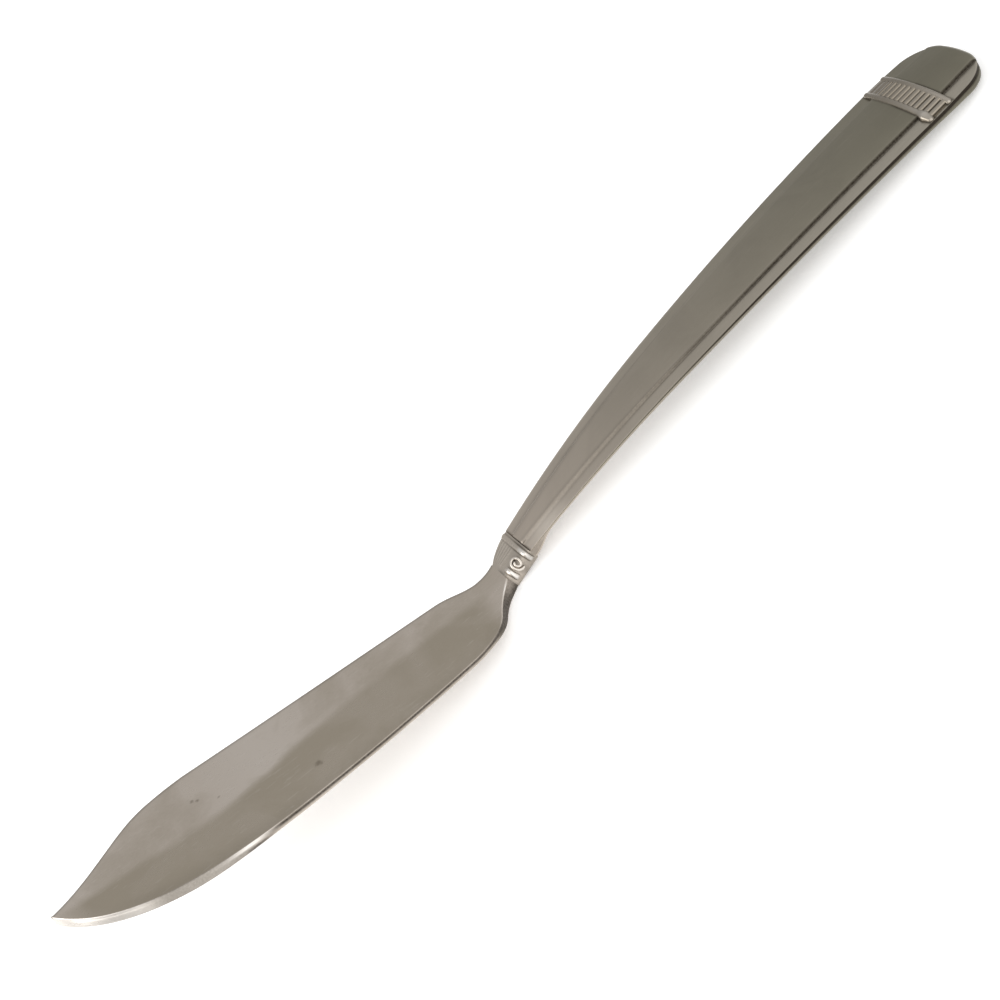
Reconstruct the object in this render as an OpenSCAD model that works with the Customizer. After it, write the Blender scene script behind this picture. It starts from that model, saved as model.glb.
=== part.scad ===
// Hollow-handled butter knife lying on a table, face up.
// The handle's chord runs along X, with its end at +X. The blade's back is on the +Y side.
// Sections below work in the handle frame: x = 0 at the mouth of the handle, h = height over the arch.

/* [Handle] */
// Length of the handle from the collar to its end
handle_len = 96; // [85:1:110]
// Width of the handle at its end
handle_end_w = 15.6; // [13:0.1:18]
// Width of the handle at the collar
handle_neck_w = 7.1; // [6.6:0.1:8.2]
// Corner radius of the handle's end
end_corner_r = 4.2; // [3.5:0.1:5.5]
// Radius of the shallow bow across the handle's end
end_bow_r = 24; // [18:1:60]
// Radius of the long arch of the handle
arch_r = 620; // [480:5:900]
// Radius of the tighter bend next to the collar
neck_bend_r = 216; // [170:2:300]
// Length of the tighter bend
neck_bend_len = 32; // [22:1:40]

/* [Handle shells] */
// Width of the flat ledge beside the raised panel
ledge_w = 2.2; // [1.7:0.1:2.5]
// Height of the raised panel over the ledge
panel_rise = 0.45; // [0.3:0.05:0.7]
// Distance from the handle's end to the end of the raised panel
panel_end_set = 0.3; // [0:0.05:0.6]
// Thickness of the front shell's edge, down to the seam
front_edge_t = 0.45; // [0.35:0.05:0.7]
// Height of the back shell's side
back_side_h = 0.75; // [0.6:0.05:1.2]
// How far the tray in the back shell is set in from its side
tray_inset = 1.9; // [1.5:0.1:2.1]
// Depth of the tray below the back shell's side
tray_depth = 1.2; // [0.9:0.1:1.8]
// Thickness of the stamped sheet
sheet_t = 0.45; // [0.3:0.05:0.5]
// Thickness of the solder in the seam
seam_t = 0.1; // [0.06:0.02:0.2]
// How far the solder lies back from the handle's side
seam_recess = 0.12; // [0.05:0.01:0.2]

/* [Blade] */
// Length of the blade from the bend at the neck to the tip
blade_len = 75.4; // [65:0.2:85]
// Angle between the blade and the handle's chord
blade_pitch = 13; // [9:0.5:16]
// How far the tip lies to the back of the middle line
tip_y = -0.2; // [-3:0.1:3]
// Slope of the back at the tip
tip_back_angle = 14; // [8:1:20]
// Slope of the belly at the tip
tip_belly_angle = 57; // [45:1:65]
// Length of the hollow sweep from the tip to the crest of the back
clip_len = 22.5; // [18:0.1:28]
// Distance from the middle line to the crest of the back
crest_y = 7.1; // [5.5:0.1:9]
// Distance from the middle line to the belly at its lowest
belly_y = 13.7; // [12.6:0.1:16]
// Distance from the tip to the lowest point of the belly
belly_from_tip = 35.7; // [30:0.1:40]
// Thickness of the blade at the heel
heel_t = 1.3; // [1:0.05:1.8]
// Thickness of the blade at the tip
tip_t = 1.3; // [0.8:0.05:1.6]

/* [Heel] */
// Length of the heel, from the bend to the straight belly
heel_len = 9.5; // [8:0.1:12]
// Distance from the middle line to the belly at the heel
heel_belly_y = 11.9; // [10.5:0.1:12.4]
// Slope of the belly at the heel
heel_belly_angle = 6; // [2:1:10]
// Distance from the bend to the middle of the heel's turn
heel_turn_back = 1.25; // [0.5:0.05:2]
// Distance from the middle line to the middle of the heel's turn
heel_turn_y = 7.5; // [6.8:0.1:8.2]
// Slope of the outline in the middle of the heel's turn
heel_turn_angle = 60; // [50:1:68]
// Distance from the bend to where the back starts to narrow
back_heel_back = 7.4; // [6:0.1:9]
// Distance from the middle line to the back at the heel
heel_back_y = 3.3; // [2.4:0.1:4.2]

/* [Neck] */
// Distance from the handle's mouth to the bend of the neck
bend_back = 8; // [7.5:0.1:9.5]
// Depth of the bend below the end of the handle's arch
bend_drop = 2.5; // [2.2:0.05:3]
// Distance from the middle line to the back side of the neck at the bend
bend_back_y = 1.4; // [1:0.05:1.7]
// Distance from the middle line to the back side of the neck at the collar
neck_back_y = 1.8; // [1.5:0.05:2.4]
// Slope of the back side of the neck at the collar
neck_back_angle = 10; // [4:1:16]
// Distance from the middle line to the belly side of the neck at the collar
neck_belly_y = 3.1; // [2.6:0.05:3.2]
// Slope of the belly side of the neck at the collar
neck_belly_angle = 36; // [28:1:44]
// Height of the neck over the handle's ledge at the collar
neck_top_h = 0.1; // [0:0.05:0.2]
// Length over which the neck thins out into the blade
neck_blend_len = 6; // [5:0.1:8]

/* [Tang] */
// Length of the tang inside the handle
tang_len = 46; // [30:1:70]
// Room between the tang and the handle's sheet
tang_room = 0.2; // [0.1:0.05:0.3]
// Room round the tang in the collar
collar_bore_room = 0.03; // [0.02:0.01:0.08]

/* [Neck collar] */
// Length of the collar along the handle
collar_len = 5; // [4.6:0.1:6]
// How far the collar stands out from the handle's mouth and from the neck
collar_lip = 0.1; // [0.05:0.05:0.3]
// Height of the collar over the handle's ledge
collar_rise = 0.4; // [0.3:0.05:0.6]
// Radius of the collar's upper edges
collar_round_r = 1.2; // [0.9:0.05:1.3]
// Width of each fillet on the collar
collar_fillet_w = 0.9; // [0.6:0.05:1.1]
// Height of each fillet over the collar
collar_fillet_h = 0.25; // [0.15:0.05:0.4]
// Distance from the handle's mouth to the first fillet
mouth_fillet_set = 0.3; // [0.2:0.05:0.5]
// Distance from the neck to the second fillet
neck_fillet_set = 0.6; // [0.3:0.05:0.8]
// Number of reeds on the back half of the collar
collar_reeds = 4; // [2:1:6]
// Gap between neighbouring reeds on the collar
collar_reed_gap = 0.1; // [0.05:0.01:0.16]
// Radius of the scroll's ring
scroll_r = 0.65; // [0.5:0.05:0.75]
// Radius of the scroll's rounded wire
scroll_wire_r = 0.26; // [0.2:0.02:0.32]
// How far round the collar's edge the scroll is turned
scroll_turn = 35; // [20:1:50]

/* [End band] */
// Distance from the handle's end to the outer fillet
outer_fillet_set = 7.9; // [6.5:0.1:10]
// Distance between the two fillets
fillet_pitch = 4.2; // [3.4:0.1:5.5]
// Width of each fillet
fillet_w = 1; // [0.7:0.05:1.3]
// Height of each fillet over the panel and the ledge
fillet_h = 0.35; // [0.2:0.05:0.5]
// How far the fillets stop short of the ledge's edge
fillet_short = 0.2; // [0.1:0.05:0.6]
// Number of reeds between the fillets
reeds = 11; // [7:1:15]
// Gap between neighbouring reeds
reed_gap = 0.2; // [0.1:0.05:0.4]
// Thickness of the strip under the reeds
reed_strip_t = 0.12; // [0.08:0.02:0.2]

/* [Hidden] */

plated = [0.72, 0.70, 0.66];
plated_dark = [0.55, 0.52, 0.48];
solder_grey = [0.42, 0.40, 0.38];
cement = [0.78, 0.72, 0.60];

// Steps along the curves, and the pull of every free curve as a share of its chord
side_steps = 20;
corner_steps = 8;
bow_steps = 6;
bend_steps = 14;
arch_steps = 20;
curve_steps = 12;
round_steps = 6;
arc_fn = 2880;
round_fn = 48;
curve_pull = 0.36;

// Overshoot of a cut, height of a cutting block and thickness of a collar slice
cut = 1;
reach = 40;
slice_t = 0.02;

// Levels of the handle's layers over the arch
seam_top = -front_edge_t;
seam_bottom = seam_top - seam_t;
back_ledge = seam_bottom - back_side_h;
back_bottom = back_ledge - tray_depth;
tang_top = seam_top - tang_room;
tang_bottom = back_bottom + sheet_t + tang_room;
tang_w = handle_neck_w - 2 * (tray_inset + sheet_t + tang_room);

// Plan of the handle: each side is one long arc that runs parallel to the middle line at the end
end_half = handle_end_w / 2;
mouth_half = handle_neck_w / 2;
side_drop = end_half - mouth_half;
side_r = (handle_len * handle_len + side_drop * side_drop) / (2 * side_drop);
function side_y(x, inset = 0) =
    end_half - side_r + sqrt((side_r - inset) * (side_r - inset) - (x - handle_len) * (x - handle_len));

// The end of the handle is a shallow bow with a round corner on each side, all tangent
corner_y = end_half - end_corner_r;
corner_a = asin(corner_y / (end_bow_r - end_corner_r));
corner_x = handle_len - end_bow_r + (end_bow_r - end_corner_r) * cos(corner_a);

// Point on a circle, and points of an arc from angle a0 to angle a1 without its last point
function on_circle(centre, r, a) = centre + r * [cos(a), sin(a)];
function arc(centre, r, a0, a1, steps) =
    [for (i = [0 : steps - 1]) on_circle(centre, r, a0 + (a1 - a0) * i / steps)];

// Points of a cubic curve that leaves p at angle a and reaches q at angle b, without its last point
function curve(p, a, q, b) =
    let (pull = curve_pull * norm(q - p),
         p1 = p + pull * [cos(a), sin(a)],
         q1 = q - pull * [cos(b), sin(b)])
    [for (i = [0 : curve_steps - 1])
        let (t = i / curve_steps, s = 1 - t)
        s * s * s * p + 3 * s * s * t * p1 + 3 * s * t * t * q1 + t * t * t * q];

// The same points in the other order
function backwards(points) = [for (i = [len(points) - 1 : -1 : 0]) points[i]];

// Half of the handle's plan on the +Y side, from x0 up to the middle of the end
function plan_half(side_inset, end_inset, x0) =
    let (corner_r = end_corner_r - end_inset,
         turn = asin(min(1, (end_corner_r - side_inset) / corner_r)),
         x1 = corner_x + corner_r * cos(turn))
    concat([for (i = [0 : side_steps - 1])
                let (x = x0 + (x1 - x0) * i / side_steps) [x, side_y(x, side_inset)]],
           arc([corner_x, corner_y], corner_r, turn, corner_a, corner_steps),
           arc([handle_len - end_bow_r, 0], end_bow_r - end_inset, corner_a, 0, bow_steps));

// Plan of the handle, set in from its sides and from its end, starting at x0
function handle_plan(side_inset, end_inset, x0) =
    let (half = plan_half(side_inset, end_inset, x0))
    concat(half, [[handle_len - end_inset, 0]], [for (p = backwards(half)) [p[0], -p[1]]]);

// Arch of the handle: a long arc, joined to the tighter bend at the collar where both have one slope
apex_x = handle_len / 2;
arch_c = [apex_x, -sqrt(arch_r * arch_r - apex_x * apex_x)];
function arch_z(x) = arch_c[1] + sqrt(arch_r * arch_r - (x - apex_x) * (x - apex_x));
function arch_a(x) = 90 - asin((x - apex_x) / arch_r);
join_a = arch_a(neck_bend_len);
bend_c = on_circle(arch_c, arch_r - neck_bend_r, join_a);
function bend_z(x) = bend_c[1] + sqrt(neck_bend_r * neck_bend_r - (x - bend_c[0]) * (x - bend_c[0]));
function bend_a(x) = 90 - asin((x - bend_c[0]) / neck_bend_r);

// Line along the arch at a height over it, from beyond the collar to beyond the end
function arch_line(h) = concat(
    arc(bend_c, neck_bend_r + h, bend_a(-collar_len - cut), join_a, bend_steps),
    arc(arch_c, arch_r + h, join_a, arch_a(handle_len + cut), arch_steps),
    [on_circle(arch_c, arch_r + h, arch_a(handle_len + cut))]);

// Places of the end band
outer_fillet_x = handle_len - outer_fillet_set;
inner_fillet_x = outer_fillet_x - fillet_pitch;
reed_x0 = inner_fillet_x + fillet_w / 2;
reed_x1 = outer_fillet_x - fillet_w / 2;
panel_half = side_y(reed_x0) - ledge_w;
reed_pitch = 2 * panel_half / reeds;

// The collar narrows from the handle's mouth to the neck, most of all on its back side
function along_collar(x, at_mouth, at_neck) = at_mouth + (at_neck - at_mouth) * -x / collar_len;
function collar_back_y(x) = along_collar(x, mouth_half, neck_back_y) + collar_lip;
function collar_belly_y(x) = along_collar(x, mouth_half, neck_belly_y) + collar_lip;
function collar_section(x, grow) =
    let (r = collar_round_r + grow,
         back = collar_back_y(x) - collar_round_r,
         belly = collar_belly_y(x) - collar_round_r,
         z = bend_z(x) + collar_rise - collar_round_r,
         low = bend_z(x) + back_bottom)
    concat([[back + r, low]],
           arc([back, z], r, 0, 90, round_steps), [[back, z + r]],
           arc([-belly, z], r, 90, 180, round_steps), [[-belly - r, z]],
           [[-belly - r, low]]);
collar_reed_x0 = -collar_len + neck_fillet_set + collar_fillet_w;
collar_reed_x1 = -mouth_fillet_set - collar_fillet_w;
collar_reed_r = ((collar_back_y(collar_reed_x0) - collar_round_r) / collar_reeds - collar_reed_gap) / 2;
function collar_reed_end(x, share) =
    [x, (collar_back_y(x) - collar_round_r) * share, bend_z(x) + collar_rise];
scroll_x = (collar_reed_x0 + collar_reed_x1) / 2;

// Corners of the blade in its own plane: u runs towards the handle from the bend, v towards the back
tip = [-blade_len, tip_y];
crest = [-blade_len + clip_len, crest_y];
back_heel = [-back_heel_back, heel_back_y];
bend_side = [0, bend_back_y];
neck_back = [bend_back - collar_len, neck_back_y];
neck_belly = [bend_back - collar_len, -neck_belly_y];
heel_turn = [-heel_turn_back, -heel_turn_y];
belly_heel = [-heel_len, -heel_belly_y];
belly_low = [-blade_len + belly_from_tip, -belly_y];

// Outline of the blade: headings turn from 0 along the back to 180 along the belly
blade_outline = concat(
    curve(tip, tip_back_angle, crest, 0),
    curve(crest, 0, back_heel, 0),
    curve(back_heel, 0, bend_side, 0),
    curve(bend_side, 0, neck_back, neck_back_angle),
    [neck_back, neck_back + [collar_len, 0], neck_belly + [collar_len, 0]],
    curve(neck_belly, 180 + neck_belly_angle, heel_turn, 180 + heel_turn_angle),
    curve(heel_turn, 180 + heel_turn_angle, belly_heel, 180 + heel_belly_angle),
    curve(belly_heel, 180 + heel_belly_angle, belly_low, 180),
    curve(belly_low, 180, tip, 180 - tip_belly_angle));

// Side view of the blade and neck, in the handle frame: x along the handle, z up
function on_blade(u, w) = [-bend_back + u * cos(blade_pitch) + w * sin(blade_pitch),
                           -bend_drop - u * sin(blade_pitch) + w * cos(blade_pitch)];
function blade_t(u) = heel_t + (tip_t - heel_t) * (-u - neck_blend_len) / (blade_len - neck_blend_len);
neck_top = [-collar_len, bend_z(-collar_len) + neck_top_h];
neck_bottom = [-collar_len, bend_z(-collar_len) + back_bottom];
blend_top = on_blade(-neck_blend_len, 0);
blend_bottom = on_blade(-neck_blend_len, -heel_t);
past_tip = -blade_len - cut;
blade_side = concat(
    [on_blade(past_tip, -blade_t(past_tip)), on_blade(past_tip, 0)],
    curve(blend_top, -blade_pitch, neck_top, bend_a(-collar_len) - 90),
    [neck_top],
    curve(neck_bottom, 180, blend_bottom, 180 - blade_pitch),
    [blend_bottom]);

// The knife rests on the back of the collar and on the end of the tray
tray_end_x = handle_len - tray_inset;
tray_end = [tray_end_x, arch_z(tray_end_x) + back_bottom];
rest_run = tray_end - neck_bottom;
rest_tilt = atan2(rest_run[1], rest_run[0]);
function rested(p) = [p[0] * cos(rest_tilt) + p[1] * sin(rest_tilt),
                      -p[0] * sin(rest_tilt) + p[1] * cos(rest_tilt)];
low_x = rested(on_blade(-blade_len, -tip_t))[0];
high_x = rested([handle_len, 0])[0];
row_shift = [-(low_x + high_x) / 2, (belly_y - end_half) / 2, -rested(neck_bottom)[1]];

// Moves a piece from the handle frame to the table
module on_table() {
    translate(row_shift) rotate([0, rest_tilt, 0]) children();
}

// Carries a profile along the long arch between two places: x of the profile is h, y is across the handle
module arch_sweep(x0, x1) {
    translate([arch_c[0], 0, arch_c[1]]) rotate([90, 0, 0]) rotate([0, 0, arch_a(x1)])
        rotate_extrude(angle = arch_a(x0) - arch_a(x1), $fn = arc_fn) translate([arch_r, 0]) children();
}

// Layer of the whole handle between two heights over the arch
module arch_layer(h0, h1) {
    rotate([90, 0, 0]) linear_extrude(reach, center = true)
        polygon(concat(arch_line(h1), backwards(arch_line(h0))));
}

// Slice of the handle between two heights, set in from its sides and its end
module handle_slice(h0, h1, side_inset, end_inset, x0 = 0) {
    intersection() {
        arch_layer(h0, h1);
        translate([0, 0, -reach / 2]) linear_extrude(reach) polygon(handle_plan(side_inset, end_inset, x0));
    }
}

// Space inside the two shells, from the panel's underside to the tray's floor
module handle_hollow(x0 = 0) {
    tray_wall = tray_inset + sheet_t;
    panel_wall = ledge_w + sheet_t;
    handle_slice(seam_top - seam_t / 2, panel_rise - sheet_t, panel_wall, panel_end_set + sheet_t, x0);
    handle_slice(back_ledge + sheet_t, seam_top, sheet_t, sheet_t, x0);
    handle_slice(back_bottom + sheet_t, seam_bottom, tray_wall, tray_wall, x0);
}

// Tang that runs from the neck through the collar into the handle
module tang(x0, x1, room = 0) {
    half = tang_w / 2 + room;
    intersection() {
        arch_layer(tang_bottom - room, tang_top + room);
        translate([x0, -half, -reach / 2]) cube([x1 - x0, 2 * half, reach]);
    }
}

// Blade, neck and tang, forged in one piece
module blade() {
    color(plated) on_table() {
        intersection() {
            translate([-bend_back, 0, -bend_drop]) rotate([0, blade_pitch, 0])
                translate([0, 0, -reach / 2]) linear_extrude(reach) polygon(blade_outline);
            rotate([90, 0, 0]) linear_extrude(reach, center = true) polygon(blade_side);
        }
        tang(-collar_len - cut, tang_len);
    }
}

// Thin slice of the collar that starts at x, grown outwards
module collar_slice(x, grow) {
    translate([x, 0, 0]) rotate([90, 0, 90]) linear_extrude(slice_t) polygon(collar_section(x, grow));
}

// Stretch of the collar between two places, grown outwards
module collar_stretch(x0, x1, grow = 0) {
    hull() {
        collar_slice(x0, grow);
        collar_slice(x1 - slice_t, grow);
    }
}

// Round rod between two points
module rod(p, q, r) {
    run = q - p;
    translate(p) rotate([0, acos(run[2] / norm(run)), atan2(run[1], run[0])])
        cylinder(h = norm(run), r = r, $fn = round_fn);
}

// Small scroll on the rounded edge of the collar: a ring of round wire with a bead in its eye
module scroll() {
    edge_y = collar_belly_y(scroll_x) - collar_round_r;
    edge_z = bend_z(scroll_x) + collar_rise - collar_round_r;
    translate([scroll_x, -edge_y, edge_z]) rotate([scroll_turn, 0, 0])
        translate([0, 0, collar_round_r - scroll_wire_r / 2]) {
            rotate_extrude($fn = round_fn) translate([scroll_r, 0])
                circle(r = scroll_wire_r, $fn = round_fn);
            sphere(r = scroll_wire_r, $fn = round_fn);
        }
}

// Collar that closes the handle's mouth, cast with its two fillets, short reeds and scroll
module neck_collar() {
    color(plated) on_table() difference() {
        union() {
            collar_stretch(-collar_len, 0);
            collar_stretch(collar_reed_x1, collar_reed_x1 + collar_fillet_w, collar_fillet_h);
            collar_stretch(collar_reed_x0 - collar_fillet_w, collar_reed_x0, collar_fillet_h);
            for (i = [0 : collar_reeds - 1]) {
                share = (i + 0.5) / collar_reeds;
                at_neck = collar_reed_end(collar_reed_x0, share);
                at_mouth = collar_reed_end(collar_reed_x1, share);
                rod(at_neck, at_mouth, collar_reed_r);
            }
            scroll();
        }
        tang(-collar_len - cut, cut, collar_bore_room);
    }
}

// Stamped front shell: a flat rim with the raised panel
module handle_front() {
    color(plated_dark) on_table() difference() {
        union() {
            handle_slice(seam_top, 0, 0, 0);
            handle_slice(seam_top, panel_rise, ledge_w, panel_end_set);
        }
        handle_hollow(-cut);
    }
}

// Stamped back shell: a low side with a shallow tray
module handle_back() {
    color(plated_dark) on_table() difference() {
        union() {
            handle_slice(back_ledge, seam_bottom, 0, 0);
            handle_slice(back_bottom, seam_bottom, tray_inset, tray_inset);
        }
        handle_hollow(-cut);
    }
}

// Solder that runs round the seam between the two shells
module seam_solder() {
    color(solder_grey) on_table() difference() {
        handle_slice(seam_bottom, seam_top, seam_recess, seam_recess);
        handle_slice(seam_bottom - cut, seam_top + cut, sheet_t, sheet_t, -cut);
    }
}

// Set cement that fills the handle round the tang
module handle_filler() {
    color(cement) on_table() difference() {
        handle_hollow();
        tang(-cut, tang_len);
    }
}

// Fillet wire that steps from the ledge up over the panel, at a place along the handle
module end_fillet(x) {
    x0 = x - fillet_w / 2;
    x1 = x + fillet_w / 2;
    panel = side_y(x1) - ledge_w;
    outer = side_y(x0) - fillet_short;
    color(plated) on_table() arch_sweep(x0, x1) difference() {
        union() {
            translate([0, -outer]) square([fillet_h, 2 * outer]);
            translate([0, -panel - fillet_h]) square([panel_rise + fillet_h, 2 * (panel + fillet_h)]);
        }
        translate([0, -panel]) square([panel_rise, 2 * panel]);
    }
}

module end_fillet_inner() {
    end_fillet(inner_fillet_x);
}

module end_fillet_outer() {
    end_fillet(outer_fillet_x);
}

// Half of a disc, on the +X side
module half_disc(r) {
    intersection() {
        circle(r = r, $fn = round_fn);
        translate([0, -r]) square([r, 2 * r]);
    }
}

// Strip of reeds soldered across the panel between the two fillets
module end_reed_strip() {
    reed_r = (reed_pitch - reed_gap) / 2;
    color(plated) on_table() arch_sweep(reed_x0, reed_x1) translate([panel_rise, 0]) {
        translate([0, -panel_half]) square([reed_strip_t, 2 * panel_half]);
        for (i = [0 : reeds - 1]) translate([0, (i + 0.5) * reed_pitch - panel_half]) half_disc(reed_r);
    }
}

blade();
neck_collar();
handle_front();
handle_back();
seam_solder();
handle_filler();
end_reed_strip();
end_fillet_inner();
end_fillet_outer();
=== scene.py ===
"""Dresses a silver plated butter knife: broad clipped blade, reeded collar and arched hollow handle."""
from math import asin, atan2, cos, pi, radians, sin, sqrt
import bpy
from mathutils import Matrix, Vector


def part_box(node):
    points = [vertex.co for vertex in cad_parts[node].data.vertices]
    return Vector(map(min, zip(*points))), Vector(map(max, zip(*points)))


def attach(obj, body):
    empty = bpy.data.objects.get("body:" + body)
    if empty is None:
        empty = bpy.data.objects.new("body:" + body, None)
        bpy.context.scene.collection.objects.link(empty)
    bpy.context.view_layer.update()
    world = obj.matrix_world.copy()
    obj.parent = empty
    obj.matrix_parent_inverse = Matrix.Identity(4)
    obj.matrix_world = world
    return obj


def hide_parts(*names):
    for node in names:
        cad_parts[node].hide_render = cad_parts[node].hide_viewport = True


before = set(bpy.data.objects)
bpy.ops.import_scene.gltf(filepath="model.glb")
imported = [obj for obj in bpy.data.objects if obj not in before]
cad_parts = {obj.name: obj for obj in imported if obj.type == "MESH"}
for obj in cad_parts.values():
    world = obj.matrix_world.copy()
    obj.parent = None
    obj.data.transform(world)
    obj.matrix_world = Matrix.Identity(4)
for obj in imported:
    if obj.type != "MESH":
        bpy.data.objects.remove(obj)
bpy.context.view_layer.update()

from types import SimpleNamespace

import bpy
import numpy as np
from bpy.props import FloatProperty, FloatVectorProperty, IntProperty, PointerProperty
from bpy.types import Operator, Panel, PropertyGroup
from mathutils import Matrix, Vector

bl_info = {
    "name": "Butter Knife",
    "version": (1, 0, 0),
    "blender": (4, 5, 0),
    "location": "View3D > Sidebar > Knife",
    "description": "Builds the surfaces and finishes of a silver plated butter knife",
    "category": "Object",
}

MM = 0.001
BODY = "root"


# Properties

def size(name, description, mm):
    """A length property whose default is given in millimetres."""
    return FloatProperty(name=name, description=description, default=mm * MM, precision=5, unit="LENGTH")


def turn(name, description, degrees):
    """An angle property whose default is given in degrees."""
    return FloatProperty(name=name, description=description, default=radians(degrees), unit="ROTATION")


def share(name, description, default):
    """A plain factor between nothing and one."""
    return FloatProperty(name=name, description=description, default=default, min=0, max=1, subtype="FACTOR")


def power(name, watts):
    """Power of a lamp."""
    return FloatProperty(name=name, description="Power of that lamp", default=watts, unit="POWER")


def optic(name, description, mm):
    """A measure of the camera's optics, given in millimetres."""
    return FloatProperty(name=name, description=description, default=mm, subtype="DISTANCE_CAMERA")


def colour(name, description, default):
    """A linear colour property."""
    return FloatVectorProperty(
        name=name, description=description, default=default, min=0, max=1, size=3, subtype="COLOR")


class HandleSizes(PropertyGroup):
    """Sizes of the handle's two shells and the seam between them."""
    length: size("Length", "From the mouth to the end", 96)
    end_w: size("End width", "Greatest width, near the end", 15.6)
    mouth_w: size("Mouth width", "Width at the collar", 7.1)
    corner_r: size("Corner radius", "Round corners of the end", 5.4)
    bow_r: size("Bow radius", "Shallow bow of the end", 30)
    skew: share("Skew", "Lean of the end's outline towards the belly side", 0.05)
    skew_len: size("Skew length", "How far from the end the lean reaches", 16)
    taper: share("Taper", "Share by which the handle narrows past the band", 0.08)
    taper_len: size("Taper length", "How far from the end it starts to narrow", 12)
    arch_r: size("Arch radius", "Long arch of the handle", 620)
    bend_r: size("Neck bend radius", "Tighter bend beside the collar", 216)
    bend_len: size("Neck bend length", "How far the tighter bend reaches", 32)
    ledge_mouth: size("Ledge at mouth", "Width of the ledge beside the panel, at the mouth", 2.1)
    ledge_end: size("Ledge at end", "Width of the ledge beside the panel, at the end", 2.6)
    step_mouth: size("Step at mouth", "Rise of the panel over the ledge, at the mouth", 0.28)
    step_end: size("Step at end", "Rise of the panel over the ledge, at the end", 0.49)
    step_soft: size("Step width at mouth", "Width of the slope between ledge and panel, at the mouth", 0.8)
    step_w: size("Step width", "Width of that slope on the outer half", 0.2)
    crown: size("Crown", "Extra rise along the middle of the panel", 0.3)
    ledge_fall: size("Ledge fall", "How far the ledge slopes down towards its edge", 0.1)
    edge_round: size("Edge round", "Round of the ledge's outer edge", 0.28)
    end_round: size("End round", "Round of the panel's far end", 0.9)
    rim_h: size("Rim height", "Lowest point of the front's round edge under the ledge", 0.12)
    mouth_round: size("Mouth round", "Round of the front where it meets the collar", 0.5)
    seam_top: size("Seam top", "Depth of the seam's upper side under the ledge", 0.2)
    seam_mouth: size("Seam at mouth", "Height of the solder line at the mouth", 0.08)
    seam_end: size("Seam at end", "Height of the solder line at the end", 0.65)
    seam_closed: size("Closed seam", "How far from the mouth the shells are flush at the seam", 15)
    seam_opening: size("Opening seam", "Length over which the seam then opens", 45)
    seam_bevel: size("Seam bevel", "How far both shells turn in at the seam", 0.18)
    solder_set: size("Solder recess", "How far the solder lies behind the shells' sides", 0.12)
    solder_w: size("Solder width", "How far the solder reaches inwards", 0.4)
    side_mouth: size("Side at mouth", "Height of the side under the seam, at the mouth", 0.3)
    side_end: size("Side at end", "Height of the side under the seam, at the end", 0.7)
    side_collar: size("Side at collar", "Extra height of the side right beside the collar", 1.3)
    side_collar_len: size("Side at collar length", "How far that extra height reaches", 5)
    side_tail: size("Side round the end", "Extra height of the side round the end", 0.5)
    side_tail_len: size("Side round the end length", "How far that extra height reaches", 14)
    side_round: size("Side round", "Round of the back's lower edge", 0.4)
    tray_inset: size("Tray inset", "Middle of the tray's slope, in from the side", 1.7)
    tray_slope: size("Tray slope", "Width of the tray's slope", 1.4)
    bottom: size("Bottom", "Depth of the tray's floor under the ledge", 2.5)
    sheet: size("Sheet", "Thickness of the stamped sheet", 0.45)
    filler_inset: size("Filler inset", "How far the cement stays in from the outline", 1.3)


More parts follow.
